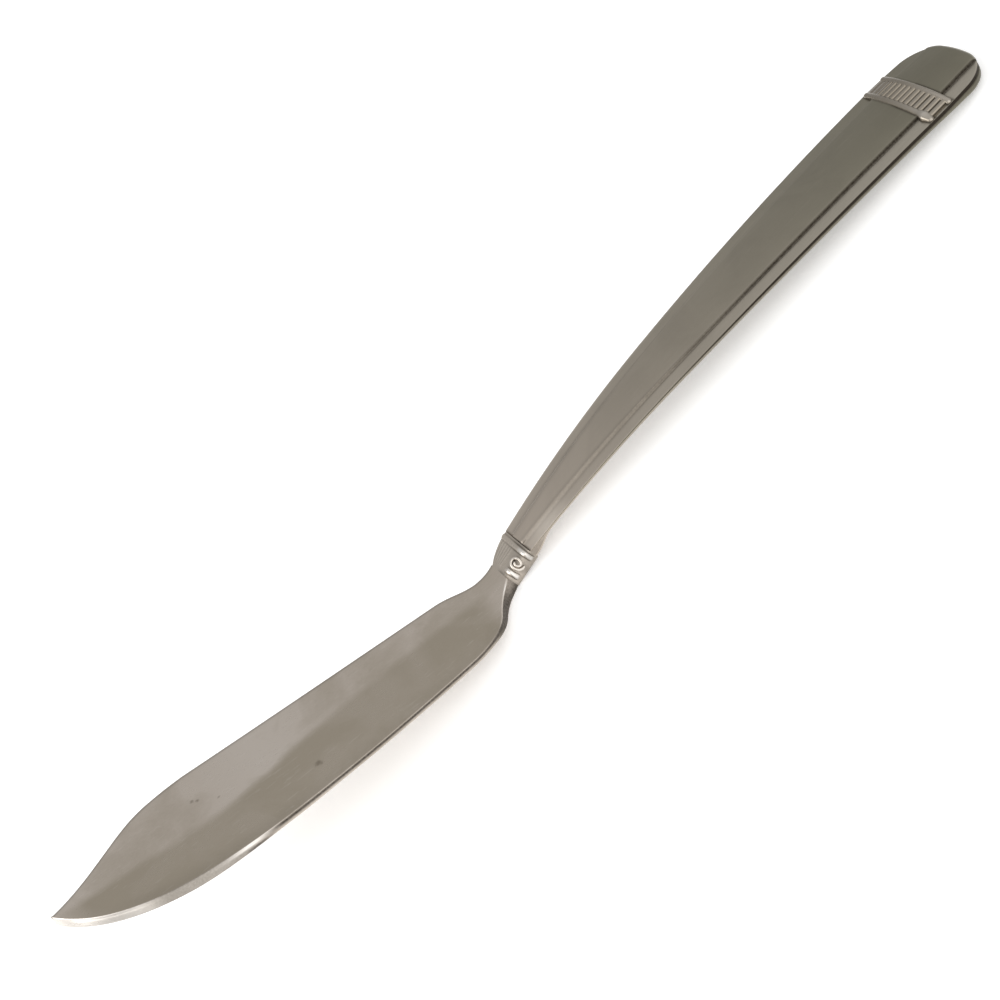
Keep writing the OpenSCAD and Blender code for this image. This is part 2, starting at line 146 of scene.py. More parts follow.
class BladeSizes(PropertyGroup):
    """Sizes of the blade, its neck and the hidden tang, in the plane of the blade."""
    length: size("Length", "From the bend to the tip", 75.4)
    pitch: turn("Pitch", "Slope of the blade against the handle", 13)
    thickness: size("Thickness", "Thickness of the blade", 1.3)
    tip_y: size("Tip offset", "Tip over the middle line", -0.2)
    tip_back_angle: turn("Tip back angle", "Heading of the clip at the tip", 10)
    tip_belly_angle: turn("Tip belly angle", "Heading of the belly at the tip", 57)
    clip_back: size("Clip middle", "Middle of the clip, back from the tip", 10.4)
    clip_y: size("Clip height", "Height of the clip's middle", 3.75)
    clip_angle: turn("Clip angle", "Slope of the clip's middle", 27)
    crest_back: size("Crest", "Where the clip meets the back, from the tip", 18.9)
    crest_y: size("Crest height", "Height of the crest", 6.9)
    crest_angle: turn("Crest angle", "Slope at the crest", 6)
    high_back: size("High point", "Highest point of the back, from the tip", 25.4)
    high_y: size("Back height", "Greatest height of the back", 7.1)
    back_fall: turn("Back fall", "Slope of the back towards the heel", -5)
    heel_back: size("Back heel", "Where the back turns into the neck, from the bend", 7.4)
    heel_back_y: size("Back heel height", "Height of the back at the heel", 3.15)
    belly_back: size("Belly low point", "Deepest point of the belly, from the tip", 35.7)
    belly_y: size("Belly depth", "Greatest depth of the belly", 13.7)
    heel_len: size("Heel", "Where the belly turns up into the heel, from the bend", 9.5)
    heel_y: size("Heel depth", "Depth of the belly at the heel", 11.9)
    heel_angle: turn("Heel angle", "Slope of the belly at the heel", 6)
    turn_back: size("Heel turn", "Steepest point of the heel, from the bend", 1.25)
    turn_y: size("Heel turn depth", "Depth of the heel's steepest point", 7.5)
    turn_angle: turn("Heel turn angle", "Slope of the heel's steepest point", 60)
    bend_back: size("Bend place", "Bend of the neck, from the handle's mouth", 8)
    bend_drop: size("Bend drop", "Depth of the bend under the arch's ends", 2.5)
    bend_y: size("Bend back", "Back of the neck at the bend", 1.5)
    neck_back_y: size("Neck back", "Back of the neck at the collar", 1.75)
    neck_back_angle: turn("Neck back angle", "Slope of the neck's back at the collar", 10)
    neck_belly_y: size("Neck belly", "Belly of the neck at the collar", 2.75)
    neck_belly_angle: turn("Neck belly angle", "Slope of the neck's belly at the collar", 36)
    neck_top: size("Neck top", "Top of the neck over the arch at the collar", 0.1)
    blend_len: size("Blend length", "Where the neck starts to thicken, from the bend", 6)
    flare_tip: size("Flare at tip", "How far the belly's side leans out at the tip", 0.75)
    flare_reach: size("Flare reach", "How far from the tip the leaning side reaches", 34)
    flare_heel: size("Lean at heel", "How far the belly's side leans in between the tip and the heel", 0.2)
    flare_neck: size("Flare at neck", "How far the neck's side leans out", 0.5)
    flare_len: size("Neck flare length", "How far past the bend the neck's side starts to lean out", 3)
    edge_round: size("Edge round", "Round of the blade's edges", 0.14)
    neck_round: size("Neck round", "Extra round of the neck's lower edges", 0.4)
    back_round: size("Back round", "Round of the back's upper edge", 0.3)
    face_fall: size("Face fall", "How far the face falls from its soft line to the belly", 0.16)
    line_set: size("Soft line", "Soft line of the face under the middle line, on the heel's half", 1.5)
    line_dip: size("Soft line dip", "How far the soft line dips on the tip's half", 2.5)
    line_dip_back: size("Soft line dip place", "Deepest point of that dip, from the tip", 27.4)
    line_dip_len: size("Soft line dip length", "How far that dip reaches to both sides", 14)
    line_tip: size("Soft line at tip", "How far the soft line bends up at the tip", 1.2)
    line_tip_len: size("Soft line at tip length", "How far from the tip it bends up", 8)
    line_w: size("Soft line width", "Width over which the face turns", 2.2)
    tang_len: size("Tang", "Reach of the tang into the handle", 46)
    tang_w: size("Tang width", "Width of the tang", 2)
    tang_top: size("Tang top", "Depth of the tang's top under the ledge", 0.65)
    tang_low: size("Tang bottom", "Depth of the tang's underside under the ledge", 1.85)


class CollarSizes(PropertyGroup):
    """Sizes of the cast collar with its fillets, reeds and scroll."""
    length: size("Length", "From the handle's mouth to the neck", 5)
    back_mouth: size("Back at mouth", "Back of the collar at the mouth", 3.5)
    back_neck: size("Back at neck", "Back of the collar at the neck", 1.75)
    belly_mouth: size("Belly at mouth", "Belly shoulder of the collar at the mouth", 3.5)
    belly_neck: size("Belly at neck", "Belly shoulder of the collar at the neck", 2.75)
    flare_mouth: size("Flare at mouth", "How far the belly side leans out, at the mouth", -0.25)
    flare_neck: size("Flare at neck", "How far the belly side leans out, at the neck", 0.65)
    rise_mouth: size("Rise at mouth", "Top of the collar over the arch, at the mouth", 0.16)
    rise_neck: size("Rise at neck", "Top of the collar over the arch, at the neck", 0.1)
    shoulder: size("Shoulder round", "Round of the belly shoulder", 1.0)
    back_round: size("Back round", "Round of the back shoulder", 0.7)
    low_round: size("Low round", "Round of the collar's lower edges", 0.7)
    fillet_w: size("Fillet width", "Width of the two fillets", 0.85)
    fillet_h: size("Fillet height", "Height of the two fillets", 0.3)
    mouth_fillet: size("Mouth fillet", "Middle of the upper fillet, from the mouth", 0.75)
    neck_fillet: size("Neck fillet", "Middle of the lower fillet, from the mouth", 4.05)
    reeds: IntProperty(name="Reeds", description="Short reeds between the fillets", default=5, min=0)
    reed_h: size("Reed height", "Height of the short reeds", 0.08)
    scroll_x: size("Scroll place", "Middle of the scroll, from the mouth", 2.45)
    scroll_y: size("Scroll offset", "Middle of the scroll under the middle line", 2.75)
    scroll_h: size("Scroll height", "Middle of the scroll over the arch", -0.02)
    scroll_lean: turn("Scroll lean", "Lean of the scroll on the shoulder", 42)
    scroll_r: size("Scroll radius", "Outer radius of the scroll", 1.2)
    scroll_eye: size("Scroll eye", "Inner radius of the scroll", 0.3)
    scroll_turns: FloatProperty(name="Scroll turns", description="Turns of the scroll", default=1.55, min=0)
    scroll_start: turn("Scroll start", "Heading at which the outer end of the scroll starts", 70)
    scroll_squeeze: share("Scroll squeeze", "Breadth of the scroll along the knife against its height", 0.8)
    wire_r: size("Scroll wire", "Radius of the scroll's wire at its outer end", 0.23)
    wire_end: size("Scroll wire end", "Radius of the scroll's wire at its eye", 0.2)


class BandSizes(PropertyGroup):
    """Sizes of the reeded band near the handle's end."""
    outer_set: size("Outer fillet", "Middle of the outer fillet, from the end", 8.8)
    pitch: size("Fillet pitch", "From one fillet to the other", 3.6)
    wire_w: size("Fillet width", "Width of the fillet wire", 0.95)
    wire_h: size("Fillet height", "Height of the fillet wire over the panel", 0.3)
    short: size("Fillet end", "How far the wire stops before the ledge's edge", 0.1)
    drape: FloatProperty(
        name="Drape", description="Power of the curve that brings the wire down", default=2.56, min=1)
    knob: share("Knob", "Extra thickness of the inner wire where it leaves the panel", 0.6)
    knob_out: size("Knob place", "Middle of the thick stretch, out from the panel's edge", 0.8)
    knob_len: size("Knob length", "Length of the thick stretch", 0.8)
    reeds: IntProperty(name="Reeds", description="Reeds of the strip", default=14, min=1)
    reed_h: size("Reed height", "Height of a reed over the strip", 0.24)
    reed_short: size("Strip end", "How far the strip stops before the ledge's edge", 0.45)
    reed_gap: share("Reed gap", "Share of the pitch between two reeds", 0.24)
    strip_t: size("Strip thickness", "Thickness of the strip between the reeds", 0.06)


class FinishColours(PropertyGroup):
    """Colours of the plated, soldered and cemented surfaces."""
    blade: colour("Blade plate", "Satin plate of the blade", (0.585, 0.52, 0.455))
    # Blade tarnish also paints the shade of the lower face, where the shade mark is.
    blade_dull: colour("Blade tarnish", "Tarnished clouds on the blade", (0.40, 0.35, 0.28))
    handle_neck: colour("Handle plate at mouth", "Satin plate near the collar", (0.525, 0.46, 0.393))
    handle_end: colour("Handle plate at end", "Darker plate near the end", (0.215, 0.20, 0.153))
    collar: colour("Collar plate", "Plate of the collar", (0.56, 0.50, 0.43))
    trim: colour("Band plate", "Plate of the end band", (0.335, 0.295, 0.24))
    # The worn plate colour also paints highlights and reflections, not only wear and scratches.
    bright: colour("Worn plate", "Bright plate on worn ridges", (0.93, 0.90, 0.86))
    # The worn handle plate also paints light on the ledges and a reflection on the back side's rim.
    handle_worn: colour("Worn handle plate", "Brighter, warmer plate on the ledges", (0.95, 0.87, 0.77))
    # The tarnish colour also paints shade in creases, seams, recesses and beside the wires.
    dark: colour("Tarnish", "Black tarnish in the grooves", (0.028, 0.022, 0.016))
    stain: colour("Stain", "Small stains on the blade", (0.17, 0.14, 0.105))
    solder: colour("Solder", "Dull solder in the seam", (0.05, 0.042, 0.034))
    cement: colour("Cement", "Set resin cement", (0.55, 0.47, 0.35))
    floor: colour("Floor", "Pale floor", (0.93, 0.93, 0.93))
    world: colour("Studio", "Soft grey of the studio round the knife", (0.62, 0.62, 0.62))
    lamp: colour("Lamp", "Colour of the lamps", (1.0, 0.995, 0.985))


class StageSizes(PropertyGroup):
    """Places of the camera and the lamps."""
    look_x: size("Look at X", "Point that the camera looks at, along the knife", -4.17)
    look_y: size("Look at Y", "Point that the camera looks at, across the knife", 16.17)
    distance: size("Distance", "Camera to that point", 299.64)
    azimuth: turn("Azimuth", "Heading of the view from +Y towards +X", 2.375)
    elevation: turn("Elevation", "View down from level", 38.71)
    roll: turn("Roll", "Turn of the picture", -47.08)
    lens: optic("Lens", "Focal length in millimetres", 72)
    sensor: optic("Sensor", "Sensor width in millimetres", 36)
    floor_r: size("Floor radius", "Radius of the round floor", 6000)
    lamp_distance: size("Lamp distance", "Lamp to the knife", 1000)
    side_size: size("Side lamp size", "Edge of the square lamp beside the blade's tip", 800)
    side_azimuth: turn("Side lamp azimuth", "Heading of that lamp from +Y towards +X", -80)
    side_elevation: turn("Side lamp elevation", "Height of that lamp over level", 32)
    side_power: power("Side power", 5.5)
    fill_size: size("Fill lamp size", "Edge of the square lamp beyond the handle's end", 1600)
    fill_azimuth: turn("Fill lamp azimuth", "Heading of that lamp from +Y towards +X", 100)
    fill_elevation: turn("Fill lamp elevation", "Height of that lamp over level", 65)
    fill_power: power("Fill power", 2)
    front_size: size("Front lamp size", "Edge of the square lamp behind the camera", 1800)
    front_azimuth: turn("Front lamp azimuth", "Heading of that lamp from +Y towards +X", 180)
    front_elevation: turn("Front lamp elevation", "Height of that lamp over level", 24)
    front_power: power("Front power", 9.5)


GROUPS = {
    "knife_handle": HandleSizes,
    "knife_blade": BladeSizes,
    "knife_collar": CollarSizes,
    "knife_band": BandSizes,
    "knife_finish": FinishColours,
    "knife_stage": StageSizes,
}


def values(group):
    """A property group as plain values: lengths in millimetres, all else as it is."""
    plain = SimpleNamespace()
    for prop in group.bl_rna.properties:
        if prop.identifier in ("rna_type", "name"):
            continue
        value = getattr(group, prop.identifier)
        if prop.unit == "LENGTH":
            value = value / MM
        elif getattr(prop, "is_array", False):
            value = tuple(value)
        setattr(plain, prop.identifier, value)
    return plain


# Curves

def spaced(knots, counts):
    """Rising numbers from the first knot to the last: an even run of each count between two knots."""
    runs = [np.linspace(a, b, n, endpoint=False) for a, b, n in zip(knots, knots[1:], counts)]
    return np.concatenate(runs + [np.array([knots[-1]])])


def mirrored(half):
    """A half run from zero, with its mirror image put before it."""
    return np.concatenate([-half[:0:-1], half])


def ease(t):
    """The smooth step 3 t^2 - 2 t^3, held between nothing and one."""
    t = np.clip(t, 0, 1)
    return t * t * (3 - 2 * t)


def quarter(t):
    """A quarter circle that rises steeply from nothing and levels out at one."""
    return np.sqrt(1 - (1 - np.clip(t, 0, 1)) ** 2)


def bump(t):
    """A bell, exp(-t^2)."""
    return np.exp(-t * t)


def mixed(a, b, t):
    """The straight mix from a to b."""
    return a + (b - a) * t


class Ramp:
    """An eased change along a measure: from a first value at its start to a last one a length further on."""

    def __init__(self, start, length, first=0.0, last=1.0):
        self.start = start
        self.length = length
        self.first = first
        self.last = last

    def __call__(self, t):
        return mixed(self.first, self.last, ease((t - self.start) / self.length))


class Spot:
    """A bell along a measure: an amount at its place that fades over a reach to both sides."""

    def __init__(self, place, reach, amount=1.0):
        self.place = place
        self.reach = reach
        self.amount = amount

    def __call__(self, t):
        return self.amount * bump((t - self.place) / self.reach)


CURVE_PULL = 0.36
CURVE_STEPS = 80


def curve(p, leave, q, reach):
    """A cubic that leaves p at one angle and reaches q at another, its pulls a set share of the chord."""
    p, q = np.array(p, float), np.array(q, float)
    pull = CURVE_PULL * np.linalg.norm(q - p)
    p1 = p + pull * np.array([cos(leave), sin(leave)])
    q1 = q - pull * np.array([cos(reach), sin(reach)])
    t = np.linspace(0, 1, CURVE_STEPS)[:, None]
    s = 1 - t
    return s ** 3 * p + 3 * s * s * t * p1 + 3 * s * t * t * q1 + t ** 3 * q


def height_along(stations, curves):
    """The second coordinate of joined curves, read at places along their first one, which rises."""
    points = np.concatenate(curves)
    return np.interp(stations, points[:, 0], points[:, 1])


def rounded_loop(corners, radii, arc_steps, edge_steps):
    """Closed loops round four corners: each corner is a parabola between points a radius away on both edges,
    and the stretch to the next corner is straight, with its own number of steps."""
    after = np.roll(corners, -1, axis=1) - corners
    before = np.roll(corners, 1, axis=1) - corners
    onward = corners + after / np.linalg.norm(after, axis=2, keepdims=True) * radii[..., None]
    inward = corners + before / np.linalg.norm(before, axis=2, keepdims=True) * radii[..., None]
    arc_t = np.linspace(0, 1, arc_steps)[None, :, None]
    runs = []
    for i in range(4):
        a, b, c = inward[:, i, None], corners[:, i, None], onward[:, i, None]
        runs.append(a * (1 - arc_t) ** 2 + 2 * b * arc_t * (1 - arc_t) + c * arc_t ** 2)
        edge_t = np.linspace(0, 1, edge_steps[i] + 2)[1:-1][None, :, None]
        runs.append(mixed(c, inward[:, (i + 1) % 4, None], edge_t))
    return np.concatenate(runs, axis=1)


def loop_normals(loops):
    """Outward normals of flat loops that run anticlockwise: the chord between neighbours, turned right."""
    chord = np.roll(loops, -1, axis=1) - np.roll(loops, 1, axis=1)
    chord /= np.linalg.norm(chord, axis=2, keepdims=True)
    return np.stack([chord[..., 1], -chord[..., 0]], axis=-1)


# The handle's frame

REST_INSET = 1.9
SIZES = SimpleNamespace()


class HandleFrame:
    """Places on the knife, in millimetres: x from the handle's mouth to its end, y towards the blade's back,
    and h over the arch. The arch is one long arc, joined to a tighter one beside the collar."""

    panel_share = 0.6
    plan_passes = 8

    def __init__(self, sizes):
        self.s = s = sizes
        self.end_half = s.end_w / 2
        drop = self.end_half - s.mouth_w / 2
        self.side_r = (s.length ** 2 + drop ** 2) / (2 * drop)
        self.corner_y = self.end_half - s.corner_r
        self.corner_a = asin(self.corner_y / (s.bow_r - s.corner_r))
        self.bow_x = s.length - s.bow_r
        self.corner_x = self.bow_x + (s.bow_r - s.corner_r) * cos(self.corner_a)
        self.apex = s.length / 2
        self.arch_z = -sqrt(s.arch_r ** 2 - self.apex ** 2)
        lean = asin((s.bend_len - self.apex) / s.arch_r)
        self.bend_x = self.apex + (s.arch_r - s.bend_r) * sin(lean)
        self.bend_z = self.arch_z + (s.arch_r - s.bend_r) * cos(lean)
        self.panel_end = self.panel_half(s.length)
        self.tilt = 0
        self.shift = np.zeros(3)
        self.rest_on_frame()

    def rest_on_frame(self):
        """Turns the knife so that the collar's underside and the tray's end are level, sets its end and its
        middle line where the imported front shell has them, and rests the collar on the table."""
        neck = self.side_view(np.array(-SIZES.collar.length), -self.s.bottom)
        end = self.side_view(np.array(self.s.length - REST_INSET), -self.s.bottom)
        self.tilt = atan2(float(end[1] - neck[1]), float(end[0] - neck[0]))
        low, high = (np.array(corner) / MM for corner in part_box("handle_front"))
        end_x = self.rested(np.array(self.s.length), np.array(0.0), np.array(0.0))[0] / MM
        collar_z = self.rested(neck[0], np.array(0.0), neck[1])[2] / MM
        self.shift = np.array([high[0] - end_x, (low[1] + high[1]) / 2, -collar_z])

    def side_half(self, x, inset=0.0):
        """Half width of the plan: one long arc that runs parallel to the middle line at the end."""
        return self.end_half - self.side_r + np.sqrt((self.side_r - inset) ** 2 - (x - self.s.length) ** 2)

    def panel_half(self, x):
        """Half width of the raised panel: the plan less the ledge, which widens evenly."""
        return self.side_half(x) - mixed(self.s.ledge_mouth, self.s.ledge_end, x / self.s.length)

    def end_x(self, y, inset=0.0):
        """Reach of the end: a shallow bow, then a round corner on each side."""
        across = np.abs(y)
        corner_r = self.s.corner_r - inset
        bow = self.bow_x + np.sqrt((self.s.bow_r - inset) ** 2 - across ** 2)
        corner = self.corner_x + np.sqrt(np.clip(corner_r ** 2 - (across - self.corner_y) ** 2, 0, None))
        return np.where(across < self.corner_y + corner_r * sin(self.corner_a), bow, corner)

    def edge_gap(self, x, y):
        """Distance from the outline of the plan, inwards: to a corner's arc, the side or the bow."""
        across = np.abs(y)
        dx, dy = x - self.corner_x, across - self.corner_y
        angle = np.arctan2(dy, dx)
        at_corner = (angle >= self.corner_a) & (angle <= pi / 2)
        bow = np.where(x > self.bow_x, self.s.bow_r - np.hypot(x - self.bow_x, y), np.inf)
        side = self.side_half(x) - across
        return np.where(at_corner, self.s.corner_r - np.hypot(dx, dy), np.minimum(side, bow))

    def plan(self, along, across, inset=0.0):
        """Grid of the plan: lines across share the panel and the ledges, and each runs on to the end's
        outline, which a few passes find."""
        def y_at(x):
            panel = self.panel_half(x)
            ledge = self.side_half(x, inset) - panel
            out = (np.abs(across) - self.panel_share) / (1 - self.panel_share)
            inner = across / self.panel_share * panel
            outer = np.sign(across) * (panel + out * ledge)
            return np.where(np.abs(across) <= self.panel_share, inner, outer)
        reach = np.full_like(across, self.s.length - inset)
        for _ in range(self.plan_passes):
            reach = self.end_x(y_at(reach), inset)
        x = along[:, None] * reach[None, :]
        return x, y_at(x)

    def side_view(self, x, h):
        """The point at height h over the arch, along the arc's radius, as x and z."""
        on_bend = x < self.s.bend_len
        centre_x = np.where(on_bend, self.bend_x, self.apex)
        centre_z = np.where(on_bend, self.bend_z, self.arch_z)
        radius = np.where(on_bend, self.s.bend_r, self.s.arch_r)
        lean = (x - centre_x) / radius
        upright = np.sqrt(1 - lean ** 2)
        return x + h * lean, centre_z + (radius + h) * upright

    def rested(self, x, y, z):
        """Points of the side view turned and moved to the table, in metres."""
        x, y, z = np.broadcast_arrays(x, y, z)
        along = x * cos(self.tilt) + z * sin(self.tilt)
        up = z * cos(self.tilt) - x * sin(self.tilt)
        return (np.stack([along, y, up], -1) + self.shift) * MM

    def place(self, x, y, h):
        """Points at height h over the arch, on the table, in metres. Past the band the handle narrows a
        little, and its end leans slightly to the belly side."""
        past = x - self.s.length
        y = y * (1 - self.s.taper * ease(past / self.s.taper_len + 1))
        lean = self.s.skew * ease(past / self.s.skew_len + 1)
        side_x, side_z = self.side_view(x - lean * y, h)
        return self.rested(side_x, y, side_z)


# Meshes

def grid_quads(rows, columns, start=0, closed=False):
    """Quads of a grid of vertices, row by row, closed along its columns if asked."""
    i = np.arange(rows - 1)[:, None]
    j = np.arange(columns if closed else columns - 1)[None, :]
    k = (j + 1) % columns
    quads = np.stack([i * columns + j, (i + 1) * columns + j, (i + 1) * columns + k, i * columns + k], -1)
    return quads.reshape(-1, 4) + start


def border(rows, columns):
    """Indices of a grid's border, anticlockwise seen from above."""
    index = np.arange(rows * columns).reshape(rows, columns)
    return np.concatenate([index[:-1, 0], index[-1, :-1], index[:0:-1, -1], index[0, :0:-1]])


SHARP_ANGLE = radians(38)


def add_piece(name, points, faces, marks, material, node):
    """A smooth closed mesh with its marks as vertex attributes, riding on the knife's body."""
    mesh = bpy.data.meshes.new(name)
    mesh.from_pydata(points.reshape(-1, 3), [], faces)
    for mark, amount in marks.items():
        layer = mesh.attributes.new(mark, "FLOAT", "POINT")
        layer.data.foreach_set("value", np.ascontiguousarray(amount, dtype=np.float32).ravel())
    mesh.validate()
    mesh.shade_smooth()
    mesh.set_sharp_from_angle(angle=SHARP_ANGLE)
    mesh.materials.append(material)
    piece = bpy.data.objects.new(name, mesh)
    bpy.context.scene.collection.objects.link(piece)
    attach(piece, BODY)
    if node:
        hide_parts(node)
    return piece


def slab_faces(rows, columns, rings):
    """Faces of a closed slab: an upper grid, a number of rings round its border, and a lower grid."""
    upper = grid_quads(rows, columns)
    lower = grid_quads(rows, columns, rows * columns)[:, ::-1]
    edge = border(rows, columns)
    loops = [edge]
    for ring in range(rings):
        loops.append(np.arange(len(edge)) + 2 * rows * columns + ring * len(edge))
    loops.append(edge + rows * columns)
    walls = []
    for high, low in zip(loops, loops[1:]):
        walls.append(np.stack([low, np.roll(low, -1), np.roll(high, -1), high], -1))
    return np.concatenate([upper, lower] + walls).tolist()


def add_slab(name, upper, lower, rings, marks, material, node):
    """A closed slab from an upper and a lower grid of points, and grids whose borders lie between them."""
    rows, columns = upper.shape[:2]
    edge = border(rows, columns)
    grids = [upper.reshape(-1, 3), lower.reshape(-1, 3)] + [ring.reshape(-1, 3)[edge] for ring in rings]
    flat_marks = {}
    for mark, (over, under, rim) in marks.items():
        over, under, rim = (np.broadcast_to(amount, (rows, columns)).ravel() for amount in (over, under, rim))
        flat_marks[mark] = np.concatenate([over, under] + [rim[edge]] * len(rings))
    faces = slab_faces(rows, columns, len(rings))
    return add_piece(name, np.concatenate(grids), faces, flat_marks, material, node)


def add_tube(name, loops, marks, material, node):
    """A closed tube from loops of points, one row each, with a face on both ends."""
    rows, columns = loops.shape[:2]
    faces = grid_quads(rows, columns, closed=True).tolist()
    first = list(range(columns))
    last = list(range((rows - 1) * columns, rows * columns))
    faces += [first, last[::-1]]
    flat_marks = {mark: np.broadcast_to(amount, (rows, columns)) for mark, amount in marks.items()}
    return add_piece(name, loops, faces, flat_marks, material, node)


# Materials

# Places of the Mix node's colour sockets: its factor, its two colours and its result.
MIX_INPUTS = (0, 6, 7)
MIX_RESULT = 2


class Wire:
    """A socket that takes part in sums: an operator on it adds the Math node for it."""

    def __init__(self, shop, socket):
        self.shop = shop
        self.socket = socket

    def math(self, operation, *others):
        return self.shop.add("ShaderNodeMath", {"operation": operation}, *others)

    def __add__(self, other):
        return self.math("ADD", self, other)

    def __radd__(self, other):
        return self.math("ADD", other, self)

    def __sub__(self, other):
        return self.math("SUBTRACT", self, other)

    def __rsub__(self, other):
        return self.math("SUBTRACT", other, self)

    def __mul__(self, other):
        return self.math("MULTIPLY", self, other)

    def __rmul__(self, other):
        return self.math("MULTIPLY", other, self)

    def __truediv__(self, other):
        return self.math("DIVIDE", self, other)

    def __rtruediv__(self, other):
        return self.math("DIVIDE", other, self)

    def __pow__(self, other):
        return self.math("POWER", self, other)

    def clamped(self):
        return self.shop.add("ShaderNodeClamp", {}, self)


class Finish:
    """A material in the making: one node tree, with short names for the nodes that plate needs."""

    def __init__(self, name):
        self.material = bpy.data.materials.new(name)
        self.material.use_nodes = True
        self.tree = self.material.node_tree
        self.tree.nodes.clear()

    def add(self, kind, settings, *inputs, output=0, **named):
        """A node of a kind: its settings first, then values or links for its sockets by place or by name."""
        node = self.tree.nodes.new(kind)
        for key, value in settings.items():
            setattr(node, key, value)
        pairs = list(zip(node.inputs, inputs))
        pairs += [(node.inputs[key.replace("_", " ")], value) for key, value in named.items()]
        for socket, value in pairs:
            if isinstance(value, Wire):
                self.tree.links.new(value.socket, socket)
            elif value is not None:
                socket.default_value = value
        return Wire(self, node.outputs[output] if node.outputs else None)

    def millimetres(self):
        """Object coordinates in millimetres."""
        place = self.add("ShaderNodeTexCoord", {}, output="Object")
        return self.add("ShaderNodeVectorMath", {"operation": "SCALE"}, place, Scale=1 / MM)

    def stretched(self, place, stretch):
        """Coordinates multiplied along each axis."""
        return self.add("ShaderNodeVectorMath", {"operation": "MULTIPLY"}, place, stretch)

    def noise(self, place, scale, detail=3.0, roughness=0.55, distortion=0.0):
        """Cloudy noise between nothing and one."""
        return self.add("ShaderNodeTexNoise", {}, place, Scale=scale, Detail=detail, Roughness=roughness,
                        Distortion=distortion)

    def ramp(self, value, low, high):
        """A smooth rise from nothing at low to one at high."""
        settings = {"interpolation_type": "SMOOTHSTEP"}
        return self.add("ShaderNodeMapRange", settings, value, low, high, 0.0, 1.0)

    def mark(self, name):
        """A vertex attribute of the piece."""
        return self.add("ShaderNodeAttribute", {"attribute_name": name}, output="Fac")

    def blend(self, factor, a, b):
        """A mix of two colours."""
        settings = {"data_type": "RGBA", "clamp_factor": True}
        node = self.add("ShaderNodeMix", settings).socket.node
        for place, value in zip(MIX_INPUTS, (factor, a, b)):
            if isinstance(value, Wire):
                self.tree.links.new(value.socket, node.inputs[place])
            else:
                node.inputs[place].default_value = (*value, 1.0) if isinstance(value, tuple) else value
        return Wire(self, node.outputs[MIX_RESULT])

    def along(self, place, axis):
        """One axis of a vector."""
        return self.add("ShaderNodeSeparateXYZ", {}, place, output=axis)

    def shade(self, base, roughness, height, metallic, bump_depth, **constants):
        """The principled surface, with a bump from a height in millimetres."""
        normal = self.add("ShaderNodeBump", {}, Strength=1.0, Distance=bump_depth * MM, Height=height)
        surface = self.add("ShaderNodeBsdfPrincipled", {}, Base_Color=base, Roughness=roughness,
                           Metallic=metallic, Normal=normal, **constants)
        self.add("ShaderNodeOutputMaterial", {}, surface)
        return self.material


# Noise of the plate: scales in waves a millimetre, and stretches along the knife, across it and upwards.
NOISE_MEAN = 0.5
CLOUDS = {"scale": 0.11, "detail": 4.0, "distortion": 0.6}
BRUSH = {"scale": 1.0, "detail": 4.0, "roughness": 0.7}
BRUSH_STRETCH = (0.22, 5.0, 5.0)
GRAIN = {"scale": 3.2, "detail": 2.0}
SCRATCH = {"scale": 1.0, "detail": 1.0, "distortion": 0.25}
SCRATCH_STRETCH = (0.05, 2.6, 1.0)
SCRATCH_LOW, SCRATCH_PEAK, SCRATCH_HIGH = 0.66, 0.70, 0.74


def satin(shop, place):
    """Clouds, lengthwise brush lines, fine grain and a few long scratches, each between nothing and one."""
    clouds = shop.noise(place, **CLOUDS)
    brush = shop.noise(shop.stretched(place, BRUSH_STRETCH), **BRUSH)
    grain = shop.noise(place, **GRAIN)
    waves = shop.noise(shop.stretched(place, SCRATCH_STRETCH), **SCRATCH)
    scratch = shop.ramp(waves, SCRATCH_LOW, SCRATCH_PEAK) * shop.ramp(waves, SCRATCH_HIGH, SCRATCH_PEAK)
    return clouds, brush, grain, scratch


CLOUD_LOW, CLOUD_HIGH = 0.35, 0.68
CLOUD_TONE, BRUSH_TONE, GRAIN_TONE = 0.55, 0.5, 0.25
SHADE_EVENS = 0.7
STAIN_WAVES, STAIN_RAGGED, STAIN_CORE, STAIN_AMOUNT = 1.6, 1.6, 0.2, 0.6
WEAR_HIGHLIGHT_AMOUNT, WEAR_HIGHLIGHT_BRUSHED = 0.85, 0.6
SHADE_TARNISH_GRAIN = 0.5
CLOUD_ROUGH, BRUSH_ROUGH, SHADE_TARNISH_ROUGH = 0.14, 0.12, 0.3
BRUSH_BUMP, GRAIN_BUMP, SCRATCH_BUMP = 0.6, 0.25, 0.5
PLATE_BUMP = 0.004


